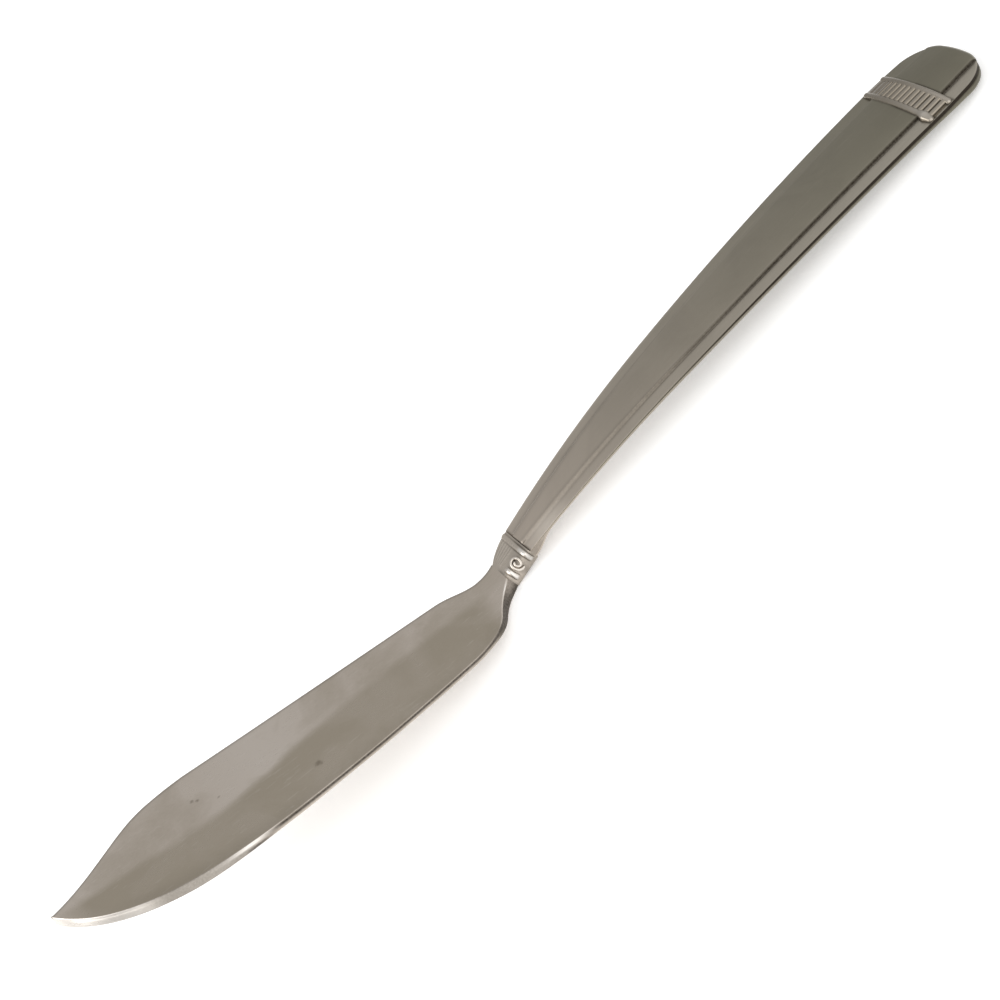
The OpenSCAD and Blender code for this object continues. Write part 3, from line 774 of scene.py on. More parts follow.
def plate_material(name, base, dull, bright, colours, rough, scratched, spots=()):
    """Silver plate: base with duller clouds; duller still and evener where the shade mark paints shade, and
    brighter where it is below nothing, as painted light; near black for painted shade, and tarnish in the
    hollows, where the mark of shade and tarnish is; bright metal for wear and painted highlights where the
    mark of wear and highlights is; small stains, and brush lines and scratches in the bump. Base and dull are
    colours, or functions that paint one."""
    shop = Finish(name)
    place = shop.millimetres()
    clouds, brush, grain, scratch = satin(shop, place)
    groove, worn, shade = (shop.mark(mark) for mark in ("groove", "worn", "shade"))
    brushed = brush - NOISE_MEAN
    grained = grain - NOISE_MEAN
    cloudy = shop.ramp(clouds, CLOUD_LOW, CLOUD_HIGH)
    mottle = cloudy * CLOUD_TONE + brushed * BRUSH_TONE + grained * GRAIN_TONE
    # The shade mark paints shade: it pushes the tone towards the dull colour and evens out the clouds; below
    # nothing it paints light.
    tone = (mottle * (1.0 - shade * SHADE_EVENS) + shade).clamped()
    base, dull = (paint(shop, place) if callable(paint) else paint for paint in (base, dull))
    surface = shop.blend(tone, base, dull)
    for spot, radius in spots:
        far = shop.add("ShaderNodeVectorMath", {"operation": "DISTANCE"}, place, spot, output=1)
        ragged = far + (shop.noise(place, STAIN_WAVES) - NOISE_MEAN) * radius * STAIN_RAGGED
        inside = shop.ramp(ragged, radius, radius * STAIN_CORE)
        surface = shop.blend(inside * STAIN_AMOUNT, surface, colours.stain)
    surface = shop.blend(scratch * scratched, surface, bright)
    # Bright metal for wear, and for painted highlights and reflections.
    surface = shop.blend(worn * (WEAR_HIGHLIGHT_AMOUNT + brushed * WEAR_HIGHLIGHT_BRUSHED), surface, bright)
    # Near black for painted shade, and for tarnish in the hollows.
    surface = shop.blend(groove * (1.0 + grained * SHADE_TARNISH_GRAIN), surface, colours.dark)
    uneven = (clouds - NOISE_MEAN) * CLOUD_ROUGH + brushed * BRUSH_ROUGH
    roughness = (rough + uneven + groove * SHADE_TARNISH_ROUGH).clamped()
    height = brush * BRUSH_BUMP + grain * GRAIN_BUMP - scratch * SCRATCH_BUMP
    return shop.shade(surface, roughness, height, 1.0, PLATE_BUMP)


HANDLE_FADE = 1.8
HANDLE_DULL = 0.84
HANDLE_ROUGH, HANDLE_SCRATCHED = 0.33, 0.02
TRIM_DULL = 0.72
TRIM_ROUGH, TRIM_SCRATCHED = 0.28, 0.05
BLADE_ROUGH, BLADE_SCRATCHED = 0.3, 0.1


def dulled(value, factor):
    """A colour with each channel times a factor."""
    return tuple(channel * factor for channel in value)


def handle_plate(colours, shift_x, length):
    """Handle plate: lighter beside the collar and darker towards the end."""
    def toned(light, dark):
        def paint(shop, place):
            left = (1.0 - (shop.along(place, 0) - shift_x) / length).clamped()
            return shop.blend(left ** HANDLE_FADE, dark, light)
        return paint

    base = toned(colours.handle_neck, colours.handle_end)
    dull = toned(dulled(colours.handle_neck, HANDLE_DULL), dulled(colours.handle_end, HANDLE_DULL))
    return plate_material("handle_plate", base, dull, colours.handle_worn, colours,
                          HANDLE_ROUGH, HANDLE_SCRATCHED)


def trim_plate(name, base, colours):
    """Plate of the collar or the band, with duller clouds."""
    return plate_material(name, base, dulled(base, TRIM_DULL), colours.bright, colours,
                          TRIM_ROUGH, TRIM_SCRATCHED)


SOLDER_GRAIN = 5.0
SOLDER_CLEAN, SOLDER_DARK = 12, 50
SOLDER_ROUGH, SOLDER_ROUGH_GRAIN = 0.55, 0.2
SOLDER_BUMP = 0.02


def solder_material(colours, shift_x):
    """Dull dark solder with a fine grain, cleaner beside the collar."""
    shop = Finish("dull_solder")
    place = shop.millimetres()
    grain = shop.noise(place, SOLDER_GRAIN)
    tarnished = shop.blend(grain, colours.solder, colours.dark)
    fade = shop.ramp(shop.along(place, 0), shift_x + SOLDER_CLEAN, shift_x + SOLDER_DARK)
    surface = shop.blend(fade, colours.handle_end, tarnished)
    return shop.shade(surface, SOLDER_ROUGH + grain * SOLDER_ROUGH_GRAIN, grain, 1.0, SOLDER_BUMP)


CEMENT_GRAIN = {"scale": 2.2, "detail": 5.0}
CEMENT_SPECKS = 7.0
SPECK_LOW, SPECK_HIGH, SPECK_AMOUNT = 0.58, 0.66, 0.5
CEMENT_ROUGH, CEMENT_ROUGH_GRAIN = 0.75, 0.15
CEMENT_BUMP = 0.08


def cement_material(colours):
    """Set resin cement with a coarse, speckled grain."""
    shop = Finish("set_cement")
    place = shop.millimetres()
    grain = shop.noise(place, **CEMENT_GRAIN)
    speck = shop.ramp(shop.noise(place, CEMENT_SPECKS), SPECK_LOW, SPECK_HIGH)
    surface = shop.blend(speck * SPECK_AMOUNT, shop.blend(grain, colours.cement, colours.stain), colours.dark)
    return shop.shade(surface, CEMENT_ROUGH + grain * CEMENT_ROUGH_GRAIN, grain, 0.0, CEMENT_BUMP)


FLOOR_MOTTLE, FLOOR_TINT = 0.02, 0.02
FLOOR_ROUGH, FLOOR_ROUGH_MOTTLE = 0.8, 0.05
FLOOR_BUMP = 0.01
FLOOR_GLOW = 0.3


def floor_material(colours):
    """Pale matte floor with a barely visible mottle, which glows a little like a light table."""
    shop = Finish("pale_floor")
    mottle = shop.noise(shop.millimetres(), FLOOR_MOTTLE)
    surface = shop.blend(mottle * FLOOR_TINT, colours.floor, colours.world)
    return shop.shade(surface, FLOOR_ROUGH + mottle * FLOOR_ROUGH_MOTTLE, mottle, 0.0, FLOOR_BUMP,
                      Emission_Color=(*colours.floor, 1.0), Emission_Strength=FLOOR_GLOW)


# Handle

# Places along and across the handle as shares of it, and the number of steps between each two.
ALONG = ([0, 0.012, 0.05, 0.86, 0.985, 1], [16, 10, 80, 130, 28])
ACROSS = ([0, 0.5, 0.57, 0.6, 0.64, 0.95, 1], [14, 8, 10, 10, 20, 12])


def handle_grid():
    """Places along and across the handle, close together at the mouth, the end and the panel's edge."""
    return spaced(*ALONG), mirrored(spaced(*ACROSS))


def step_width(s, x):
    """Width of the panel's step: soft at the mouth, crisp from the middle of the handle on."""
    return mixed(s.step_soft, s.step_w, ease(2 * x / s.length))


def panel_step(form, x, y):
    """One on the panel and nothing on the ledges, eased over the step's width."""
    return ease((form.panel_half(x) - np.abs(y)) / step_width(form.s, x) + 1 / 2)


def front_height(form, x, y):
    """Height of the front shell without its round edges: the ledge falls slightly outwards, the panel rises
    over it on an eased step and is crowned by a parabola that grows with the panel's width."""
    s = form.s
    panel = form.panel_half(x)
    along = x / s.length
    step = mixed(s.step_mouth, s.step_end, along) * panel_step(form, x, y)
    crown = s.crown * (panel / form.panel_end) ** 2 * np.clip(1 - (y / panel) ** 2, 0, None)
    ledge = mixed(s.ledge_mouth, s.ledge_end, along)
    return step + crown - s.ledge_fall * np.clip((np.abs(y) - panel) / ledge, 0, 1)


SEAM_FLUSH = 0.02


def seam_open(form, x):
    """How far the seam stands open: shut beside the collar, fully open on the outer half."""
    return ease((x - form.s.seam_closed) / form.s.seam_opening)


def seam_low(form, x):
    """Height of the seam's lower side, which falls evenly towards the end."""
    return -form.s.seam_top - mixed(form.s.seam_mouth, form.s.seam_end, x / form.s.length)


def seam_plan(form, along, across, inset):
    """Grid of the plan, set in where the seam stands open and almost flush where it is shut."""
    x, y = form.plan(along, across, SEAM_FLUSH)
    inner_x, inner_y = form.plan(along, across, inset)
    part = seam_open(form, x)
    return mixed(x, inner_x, part), mixed(y, inner_y, part)


# Marks of the front shell, in millimetres: those named along run over x, and the sides over y. The foot's end
# and the worn edge run over the way in from the panel's edge, and the rims over the way in from the outline.
BELLY_SIDE = Ramp(-1, 2, 1, 0)
# Painted shade: the panel's foot, the foot's end, the rim, the mouth, beside the fillets and in the open
# seam.
FOOT_OUT, FOOT_SHARE = 0.02, 0.8
FOOT_ALONG, FOOT_BACK_ALONG = Ramp(0, 60, 0.3, 0.92), Ramp(0, 60, 1, 0.3)
FOOT_END, FOOT_END_ALONG = Spot(-0.05, 0.18, 0.75), Ramp(0, 1.9, 1, 0)
RIM, RIM_ALONG = Ramp(0, 0.1, 0.4, 0), Ramp(22, 45, 0.22, 0.92)
MOUTH_ALONG, MOUTH_BACK, MOUTH_BELLY = Ramp(0, 0.55, 1, 0), 0.45, 0.85
BESIDE_SHARE, BESIDE_LINE, BESIDE_BACK = 0.58, Spot(0, 0.19, 0.7), 0.4
# Painted light on the ledges and a painted reflection on the back rim; the worn edge is wear.
LEDGE_LIGHT, LEDGE_SHARE_ALONG, LEDGE_MOUTH_ALONG = 0.05, Ramp(0, 1, 0.01, 0.26), Spot(4.5, 3.5, 0.45)
WORN_EDGE = Spot(0.25, 0.2, 0.05)
BACK_RIM, BACK_RIM_ALONG = Ramp(0, 0.6, 0.2, 0), Ramp(30, 25, 1, 0)
SEAM_DARK = 0.95


def front_marks(form, band, x, y):
    """Marks of the front shell: painted shade along the panel's foot, on the rim, at the mouth, beside both
    fillets and in the open seam, painted light on the ledges, a painted reflection on the back side's rim,
    and wear on the panel's edge."""
    s = form.s
    inside = form.panel_half(x) - np.abs(y)
    gap = form.edge_gap(x, y)
    belly = BELLY_SIDE(y)
    foot = bump((inside + FOOT_OUT) / (FOOT_SHARE * step_width(s, x)))
    # Painted shade: along the panel's foot, also dimming the step's highlight, on the rim over the seam, at
    # the mouth and on both sides of each fillet.
    dark = [
        foot * FOOT_ALONG(x) * mixed(FOOT_BACK_ALONG(x), 1, belly),
        FOOT_END(inside) * FOOT_END_ALONG(x) * belly,
        RIM(gap) * RIM_ALONG(x),
        MOUTH_ALONG(x) * mixed(MOUTH_BACK, MOUTH_BELLY, belly),
    ]
    for place in band_places(s, band):
        beside = BESIDE_LINE(np.abs(x - place) - BESIDE_SHARE * band.wire_w)
        dark.append(beside * mixed(BESIDE_BACK, 1, belly))
    # Painted light on the ledges, most on the belly side and near the mouth, and a painted reflection on the
    # back side's rim; wear on the panel's edge.
    ledge = LEDGE_LIGHT + belly * (LEDGE_SHARE_ALONG(x / s.length) + LEDGE_MOUTH_ALONG(x))
    back_rim = BACK_RIM(gap) * BACK_RIM_ALONG(x) * (1 - belly)
    worn = WORN_EDGE(inside) + ledge * (1 - panel_step(form, x, y)) + back_rim
    # The seam's ring gets painted shade where the seam stands open.
    return {
        "groove": (np.clip(np.maximum.reduce(dark), 0, 1), 0.0, SEAM_DARK * seam_open(form, x)),
        "worn": (np.clip(worn, 0, 1), 0.0, 0.0),
        "shade": (0.0, 0.0, 0.0),
    }


RING_DROP = 0.04


def build_front(form, band, material):
    """Front shell: the height field above with round edges, a quarter circle of the distance from the outline
    and from the mouth, and a bevelled underside."""
    s = form.s
    along, across = handle_grid()
    x, y = form.plan(along, across)
    rim = quarter(form.edge_gap(x, y) / mixed(s.edge_round, s.end_round, panel_step(form, x, y)))
    h = mixed(-s.rim_h, front_height(form, x, y), rim * quarter(x / s.mouth_round))
    under_x, under_y = seam_plan(form, along, across, s.seam_bevel)
    top = form.place(x, y, h)
    ring = form.place(x, y, np.full_like(x, -s.rim_h - RING_DROP))
    low = form.place(under_x, under_y, np.full_like(x, -s.seam_top))
    marks = front_marks(form, band, x, y)
    return add_slab("front_shell", top, low, [ring], marks, material, "handle_front")


def tray(form, x, y):
    """Heights of the back shell: its seam, its side under the seam, and its underside without round edges,
    where the tray's slope is an eased step of the distance from the outline."""
    s = form.s
    seam = seam_low(form, x)
    side = mixed(s.side_mouth, s.side_end, x / s.length) + s.side_collar * (1 - ease(x / s.side_collar_len))
    side = side + s.side_tail * ease((x - s.length) / s.side_tail_len + 1)
    slope = ease((form.edge_gap(x, y) - s.tray_inset) / s.tray_slope + 1 / 2)
    return seam, side, mixed(seam - side, -s.bottom, slope)


ROUND_SHARE = 0.6
BEVEL_SHARE, BEVEL_SIDE = 0.8, 0.3
RING_LOW = 0.9
# Painted shade on the inside seen through the seam and on the side under it.
SEAM_INSIDE = 0.8
SIDE_ALONG, SIDE_OPEN = Ramp(0, 7, 0.45, 0.1), 0.25


def build_back(form, material):
    """Back shell: a low side under the seam, rounded into a ledge, and a tray. The inside follows it at the
    sheet's thickness. Its marks paint shade on the inside where the seam stands open, and on the side under
    the seam, most beside the collar and where the seam opens."""
    s = form.s
    along, across = handle_grid()
    x, y = form.plan(along, across)
    gap = form.edge_gap(x, y)
    seam, side, under = tray(form, x, y)
    side_round = np.minimum(s.side_round, side * ROUND_SHARE)
    low = under + side_round * (1 - quarter(gap / side_round))
    inner_x, inner_y = seam_plan(form, along, across, s.seam_bevel)
    wall = ease((form.edge_gap(inner_x, inner_y) - s.sheet) / s.sheet)
    inside = mixed(seam, np.minimum(under + s.sheet, seam), wall)
    opened = seam_open(form, x)
    upper_ring = seam - np.minimum(s.seam_bevel * BEVEL_SHARE, side * BEVEL_SIDE) * opened - SEAM_FLUSH
    lower_ring = mixed(upper_ring, seam - side + side_round, RING_LOW)
    rings = [form.place(x, y, ring) for ring in (upper_ring, lower_ring)]
    # Painted shade: the inside seen through the open seam, and the side beside the collar and under the open
    # seam.
    marks = {
        "groove": (SEAM_INSIDE * opened, 0.0, SIDE_ALONG(x) + SIDE_OPEN * opened),
        "worn": (0.0, 0.0, 0.0),
        "shade": (0.0, 0.0, 0.0),
    }
    return add_slab("back_shell", form.place(inner_x, inner_y, inside), form.place(x, y, low), rings, marks,
                    material, "handle_back")


FILLER_ALONG = np.linspace(0.002, 0.995, 90)
FILLER_ACROSS = np.linspace(-1, 1, 33)
FILLER_CLEAR = 0.01


def build_filler(form, material):
    """Cement: fills the hollow from the front's underside down to the tray's inside, just clear of both, with
    its plan set in from the outline."""
    s = form.s
    x, y = form.plan(FILLER_ALONG, FILLER_ACROSS, s.filler_inset)
    seam, _, under = tray(form, x, y)
    low = np.minimum(under + s.sheet, seam) + FILLER_CLEAR
    top = np.full_like(x, -s.seam_top - FILLER_CLEAR)
    return add_slab("cement_core", form.place(x, y, top), form.place(x, y, low), [], {}, material,
                    "handle_filler")


def build_solder(form, material):
    """Solder line: a flat strip carried along one side, round the end and back along the other side."""
    s = form.s
    along, across = handle_grid()
    strips = []
    for inset, upper in ((0.0, True), (s.solder_w, True), (s.solder_w, False), (0.0, False)):
        x, y = seam_plan(form, along, across, s.solder_set)
        if inset:
            x, y = form.plan(along, across, s.solder_set + inset)
        points = form.place(x, y, np.full_like(x, -s.seam_top) if upper else seam_low(form, x))
        strips.append(np.concatenate([points[:-1, 0], points[-1, :-1], points[::-1, -1]]))
    return add_tube("solder_line", np.stack(strips, 1), {}, material, "seam_solder")


# Blade

# Places along the blade as shares of it, and the number of steps between each two.
BLADE_STATIONS = ([0, 0.004, 0.03, 0.3, 0.86, 1], [12, 26, 90, 110, 70])
NECK_STATIONS = 60
HIDDEN_STATIONS = 24
ARC_STEPS = 8
BLADE_EDGES = (3, 44, 8, 16)
TIP_BLUNT = 0.05
HIGH_FALL = 1.15
TANG_START = 0.3


def blade_back(s):
    """Curves of the blade's back, from the tip over the clip and the crest to the neck."""
    tip = (-s.length, s.tip_y)
    clip = (s.clip_back - s.length, s.clip_y)
    crest = (s.crest_back - s.length, s.crest_y)
    high = (s.high_back - s.length, s.high_y)
    heel = (-s.heel_back, s.heel_back_y)
    bend = (0, s.bend_y)
    neck = (s.bend_back - SIZES.collar.length, s.neck_back_y)
    return [curve(tip, s.tip_back_angle, clip, s.clip_angle), curve(clip, s.clip_angle, crest, s.crest_angle),
            curve(crest, s.crest_angle, high, s.back_fall / 2),
            curve(high, s.back_fall * HIGH_FALL, heel, s.back_fall),
            curve(heel, s.back_fall, bend, 0), curve(bend, 0, neck, s.neck_back_angle)]


def blade_belly(s):
    """Curves of the blade's belly, from the tip round the low point and the heel to the neck."""
    tip = (-s.length, s.tip_y)
    low = (s.belly_back - s.length, -s.belly_y)
    heel = (-s.heel_len, -s.heel_y)
    steep = (-s.turn_back, -s.turn_y)
    neck = (s.bend_back - SIZES.collar.length, -s.neck_belly_y)
    return [curve(tip, -s.tip_belly_angle, low, 0), curve(low, 0, heel, s.heel_angle),
            curve(heel, s.heel_angle, steep, s.turn_angle),
            curve(steep, s.turn_angle, neck, s.neck_belly_angle)]


def blade_spine(form, s):
    """Top and bottom lines of the blade in the side view, from the tip to the tang's end: straight along the
    blade, two cubics up the neck, then the arch inside the handle."""
    def on_blade(u, w):
        return np.stack([-s.bend_back + u * cos(s.pitch) + w * sin(s.pitch),
                         -s.bend_drop - u * sin(s.pitch) + w * cos(s.pitch)], -1)

    u = mixed(TIP_BLUNT - s.length, -s.blend_len, spaced(*BLADE_STATIONS))
    top, low = on_blade(u, 0 * u), on_blade(u, 0 * u - s.thickness)
    collar_x = np.array(-SIZES.collar.length)
    neck_top = np.array(form.side_view(collar_x, s.neck_top))
    neck_low = np.array(form.side_view(collar_x, -form.s.bottom))
    rise = -asin((-SIZES.collar.length - form.bend_x) / form.s.bend_r)
    steps = np.linspace(0, CURVE_STEPS - 1, NECK_STATIONS + 1)[1:]
    rows = np.arange(CURVE_STEPS)
    neck = []
    for start, end, reach in ((top[-1], neck_top, rise), (low[-1], neck_low, 0.0)):
        line = curve(start, -s.pitch, end, reach)
        neck.append(np.stack([np.interp(steps, rows, line[:, axis]) for axis in (0, 1)], -1))
    tang_x = spaced([float(collar_x) + TANG_START, s.tang_len], [HIDDEN_STATIONS])
    tang_top = np.stack(form.side_view(tang_x, -s.tang_top + 0 * tang_x), -1)
    tang_low = np.stack(form.side_view(tang_x, -s.tang_low + 0 * tang_x), -1)
    return np.concatenate([top, neck[0], tang_top]), np.concatenate([low, neck[1], tang_low])


def soft_line(s, from_tip):
    """Height of the soft line along the face: level on the heel's half, a bell deep on the tip's half and
    bent up at the tip."""
    dip = s.line_dip * bump((from_tip - s.line_dip_back) / s.line_dip_len)
    return s.line_tip * (1 - ease(from_tip / s.line_tip_len)) - s.line_set - dip


TIP_CLOSE = 1.2
LEAN_LEN = 12
BELLY_ROUND = 1.6
ROUND_LIMIT = 0.42


def blade_loops(s, u, back, belly, tall, hidden):
    """Rounded four sided sections, as y and the height over the underside. The belly side leans outwards near
    the tip and on the neck, and inwards between the two."""
    from_tip = u + s.length
    half = s.flare_reach / 2
    on_neck = ease(u / s.flare_len)
    out_at_tip = s.flare_tip * (1 - ease((from_tip - half) / half)) * quarter(from_tip / TIP_CLOSE)
    in_between = s.flare_heel * ease((from_tip - s.flare_reach) / LEAN_LEN) * (1 - on_neck)
    flare = (out_at_tip - in_between + s.flare_neck * on_neck) * ~hidden
    zero = 0 * u
    pairs = ((back, zero), (back, tall), (belly, tall), (belly - flare, zero))
    corners = np.stack([np.concatenate(pair, 1) for pair in pairs], 1)
    low_edge = s.edge_round + s.neck_round * on_neck
    radii = np.concatenate([low_edge, zero + s.back_round, zero + s.edge_round, low_edge * BELLY_ROUND], 1)
    radii = np.minimum(radii, ROUND_LIMIT * np.minimum(back - belly, tall))
    return rounded_loop(corners, radii, ARC_STEPS, BLADE_EDGES)


# Marks of the belly's side, in millimetres from the tip or, if named neck, past the bend. Those named part
# run over the share of the blade's thickness. They paint highlights, reflections and shade: a bright tip, a
# grey facet, a bright streak over a dark patch, a dark band under a bright top edge, and the neck's shaded
# side.
TIP_BRIGHT, TIP_HIGHLIGHT, TIP_EDGE_PART = Ramp(9, 6, 1, 0), 0.55, Ramp(0, 0.2, 0.35, 0)
GREY_STOP, GREY_HIGHLIGHT, GREY_DARK, GREY_TOP_PART = Ramp(26, 6, 1, 0), 0.3, 0.5, Spot(1, 0.1, 0.3)
STREAK, STREAK_PART, STREAK_HIGHLIGHT = Spot(27.5, 3.2, 0.75), Ramp(0.45, 0.2), 0.8
PATCH, PATCH_PART = Spot(28, 3, 0.8), Ramp(0.3, 0.2, 1, 0)
UPPER_START, UPPER_PART = Ramp(28, 5), Spot(0.62, 0.3, 0.9)
TOP_START, TOP_STOP_NECK, TOP_PART, TOP_HIGHLIGHT = Ramp(24, 8), Ramp(2, 2, 1, 0), Spot(0.97, 0.07), 0.25
RIDGE_NECK = Spot(1.6, 0.9, 0.6)
NEAR_NECK, NECK_DARK = Ramp(-6, 4), 0.84
NECK_LIGHTER, NECK_LIGHTER_PART = Ramp(0, 2.5, 0, 0.3), Ramp(0.2, 0.5)


def belly_marks(u, from_tip, part):
    """Painted shade and painted highlights of the belly's side, as its two marks: a painted highlight at the
    tip, then a painted grey reflection up to a painted bright streak, then painted shade under a fine painted
    highlight along the top edge that ends on the neck."""
    tip = TIP_BRIGHT(from_tip)
    grey = (1 - tip) * GREY_STOP(from_tip)
    streak = STREAK(from_tip) * STREAK_PART(part)
    top_line = TOP_PART(part) * TOP_START(from_tip) * TOP_STOP_NECK(u)
    near_neck = NEAR_NECK(u)
    # Painted highlights: the tip, the grey facet, the streak, and the top edge with the neck's ridge.
    worn = TIP_HIGHLIGHT * tip + GREY_HIGHLIGHT * grey + STREAK_HIGHLIGHT * streak + (TOP_HIGHLIGHT + RIDGE_NECK(u)) * top_line
    worn = np.clip(worn, 0, 1) * (1 - near_neck * (1 - top_line))
    # Painted shade: the neck's side, lighter on its upper part past the bend, the band under the top edge,
    # the tip's lower edge, the dark patch and the grey facet.
    neck = NECK_DARK - NECK_LIGHTER(u) * NECK_LIGHTER_PART(part)
    dark = mixed(UPPER_PART(part) * UPPER_START(from_tip), neck, near_neck) + TIP_EDGE_PART(part) * tip
    grey_dark = (GREY_DARK + GREY_TOP_PART(part)) * grey * (1 - streak)
    dark = dark + np.maximum(PATCH(from_tip) * PATCH_PART(part), grey_dark)
    return dark * (1 - top_line), worn


# Marks of the face, in millimetres from the tip, from the back's or the belly's edge, or past the bend. They
# paint shade on the lower face past the soft line and along the back's edge, and light on a pale patch and on
# the upper face near the tip; the face is also darker along the belly's edge.
FACE_PART = Ramp(0.55, 0.3)
HEEL_FADE_NECK, TIP_FADE = Ramp(-4, 4, 1, 0), Ramp(0, 6)
LEAST_REACH = 0.5
FACE_EARLY = 0.3
BELLY_SHADE = Ramp(0, 40, 0.9, 0.75)
PALE, PALE_HIGHLIGHT, PALE_LIGHT = Spot(36, 8), 0.12, 0.4
PALE_TIP, PALE_TIP_HIGHLIGHT, PALE_TIP_LIGHT = Ramp(0, 16, 1, 0), 0.06, 0.3
BACK_EDGE = Spot(0, 0.4, 0.65)
BELLY_EDGE, BELLY_EDGE_START, BELLY_EDGE_STOP = Ramp(0, 3, 0.14, 0), Ramp(6, 8), Ramp(30, 15, 1, 0.4)


def build_blade(form, material):
    """Blade, neck and tang: sections carried along the spine, each from the back's curve to the belly's. The
    face falls past the soft line, on one branch of a hyperbola, and is duller there with painted shade."""
    s = SIZES.blade
    top, low = blade_spine(form, s)
    u = ((top[:, 0] + s.bend_back) * cos(s.pitch) - (top[:, 1] + s.bend_drop) * sin(s.pitch))[:, None]
    from_tip = u + s.length
    hidden = (np.arange(len(u)) >= len(u) - HIDDEN_STATIONS - 1)[:, None]
    back = np.where(hidden, s.tang_w / 2, height_along(u, blade_back(s)))
    belly = np.where(hidden, -s.tang_w / 2, height_along(u, blade_belly(s)))
    tall = np.linalg.norm(top - low, axis=1, keepdims=True)
    loops = blade_loops(s, u, back, belly, tall, hidden)
    y, w = loops[..., 0], loops[..., 1]
    line = soft_line(s, from_tip)
    on_face = FACE_PART(w / tall)
    fade = HEEL_FADE_NECK(u) * TIP_FADE(from_tip)
    past = np.clip(line - y, 0, None)
    reach = np.clip(line - belly, LEAST_REACH, None)
    fall = s.face_fall * fade * (np.sqrt(past ** 2 + s.line_w ** 2) - s.line_w) / reach
    part = (w - fall * on_face) / tall
    side = mixed(low[:, None, :], top[:, None, :], part[..., None])
    points = form.rested(side[..., 0], y, side[..., 1])

    # The belly's side starts a quarter round its upper corner and ends half way round its lower one.
    columns = np.arange(loops.shape[1])
    belly_start = 3 * ARC_STEPS + sum(BLADE_EDGES[:2]) - ARC_STEPS * 3 // 4
    belly_end = 4 * ARC_STEPS + sum(BLADE_EDGES[:3]) - ARC_STEPS // 2
    on_belly = (columns >= belly_start) & (columns <= belly_end)
    # Painted shade and painted highlights of the belly's side.
    groove, worn = (mark * on_belly for mark in belly_marks(u, from_tip, part))
    lower = ease((line - y) / s.line_w + FACE_EARLY)
    off_belly = on_face * ~on_belly
    # Painted light: a pale patch and the upper face near the tip.
    pale = PALE(from_tip) * (1 - lower) * off_belly
    pale_tip = PALE_TIP(from_tip) * (1 - lower) * off_belly
    # Painted shade along the back's edge; the face is also darker along the belly's edge.
    back_edge = BACK_EDGE(back - y) * on_face * ~hidden
    edge_along = BELLY_EDGE_START(from_tip) * BELLY_EDGE_STOP(from_tip)
    belly_edge = BELLY_EDGE(y - belly) * edge_along * fade * off_belly
    # Painted shade on the lower face, past the soft line.
    dull = BELLY_SHADE(from_tip) * lower * fade * off_belly
    marks = {
        "groove": np.maximum.reduce([groove, back_edge, belly_edge]),
        "worn": worn + PALE_HIGHLIGHT * pale + PALE_TIP_HIGHLIGHT * pale_tip,
        "shade": dull - PALE_LIGHT * pale - PALE_TIP_LIGHT * pale_tip,
    }
    return add_tube("forged_blade", points, marks, material, "blade")


# Stains on the face: place from the bend, place across and radius, in millimetres.
STAINS = ((-34.2, -8.9, 0.75), (-51.1, 1.1, 0.45), (-50.3, 0.5, 0.4), (-47.7, -1.7, 0.35))


def face_stains(form):
    """Middles of the small stains on the blade's face, in millimetres on the table, each with its radius."""
    s = SIZES.blade
    stains = []
    for u, v, radius in STAINS:
        x = np.array(-s.bend_back + u * cos(s.pitch))
        z = np.array(-s.bend_drop - u * sin(s.pitch))
        stains.append((tuple(form.rested(x, np.array(v), z) / MM), radius))
    return stains


# Collar

COLLAR_STATIONS = 110
COLLAR_EDGES = (14, 130, 26, 12)
COLLAR_ARC = 14

# Marks and fades of the collar, in millimetres: the sides over y, low over the height over the arch, and the
# rest over the way along the collar or from the middle of an ornament.
BELLY_HALF_SIDE, SHOULDER_SIDE = Ramp(-1.2, 2.4, 1, 0), Ramp(-2.4, 1.2, 1, 0)
MOUTH_BEAD, BEAD_LOW = 0.55, Ramp(-1.9, 0.8)
REEDS_NECK, REEDS_MOUTH, REEDS_CLEAR = Ramp(0, 1.2), Ramp(0, 0.3), 0.35
REEDS_SIDE, REEDS_LOW, REEDS_ROUND = Ramp(-0.6, 0.5), Ramp(-0.5, 0.4), 0.3
REED_POWER, VALLEY_POWER, VALLEY_DARK = 0.7, 1.5, 0.45
# Painted shade beside the fillets, round the scroll, on the flank and at the neck's end; painted highlights
# on the fillets and reeds.
BEAD_SHARE, BEAD_LINE, BEAD_DARK = 0.56, Spot(0, 0.16), (0.6, 0.45)
SCROLL_DARK = Spot(0, 1.15, 0.55)
FLANK_SIDE = Ramp(-3.5, 0.6, 0.45, 0)
NECK_END, NECK_END_SIDE, NECK_END_OUT = Ramp(0, 0.4, 0, 0.4), Ramp(-1.3, 1.5, 1, 0), 0.45
HIGHLIGHT_POWER, MOUTH_HIGHLIGHT, MOUTH_HIGHLIGHT_SIDE, NECK_HIGHLIGHT, REED_HIGHLIGHT = 3, 0.05, 0.8, 0.85, 0.1


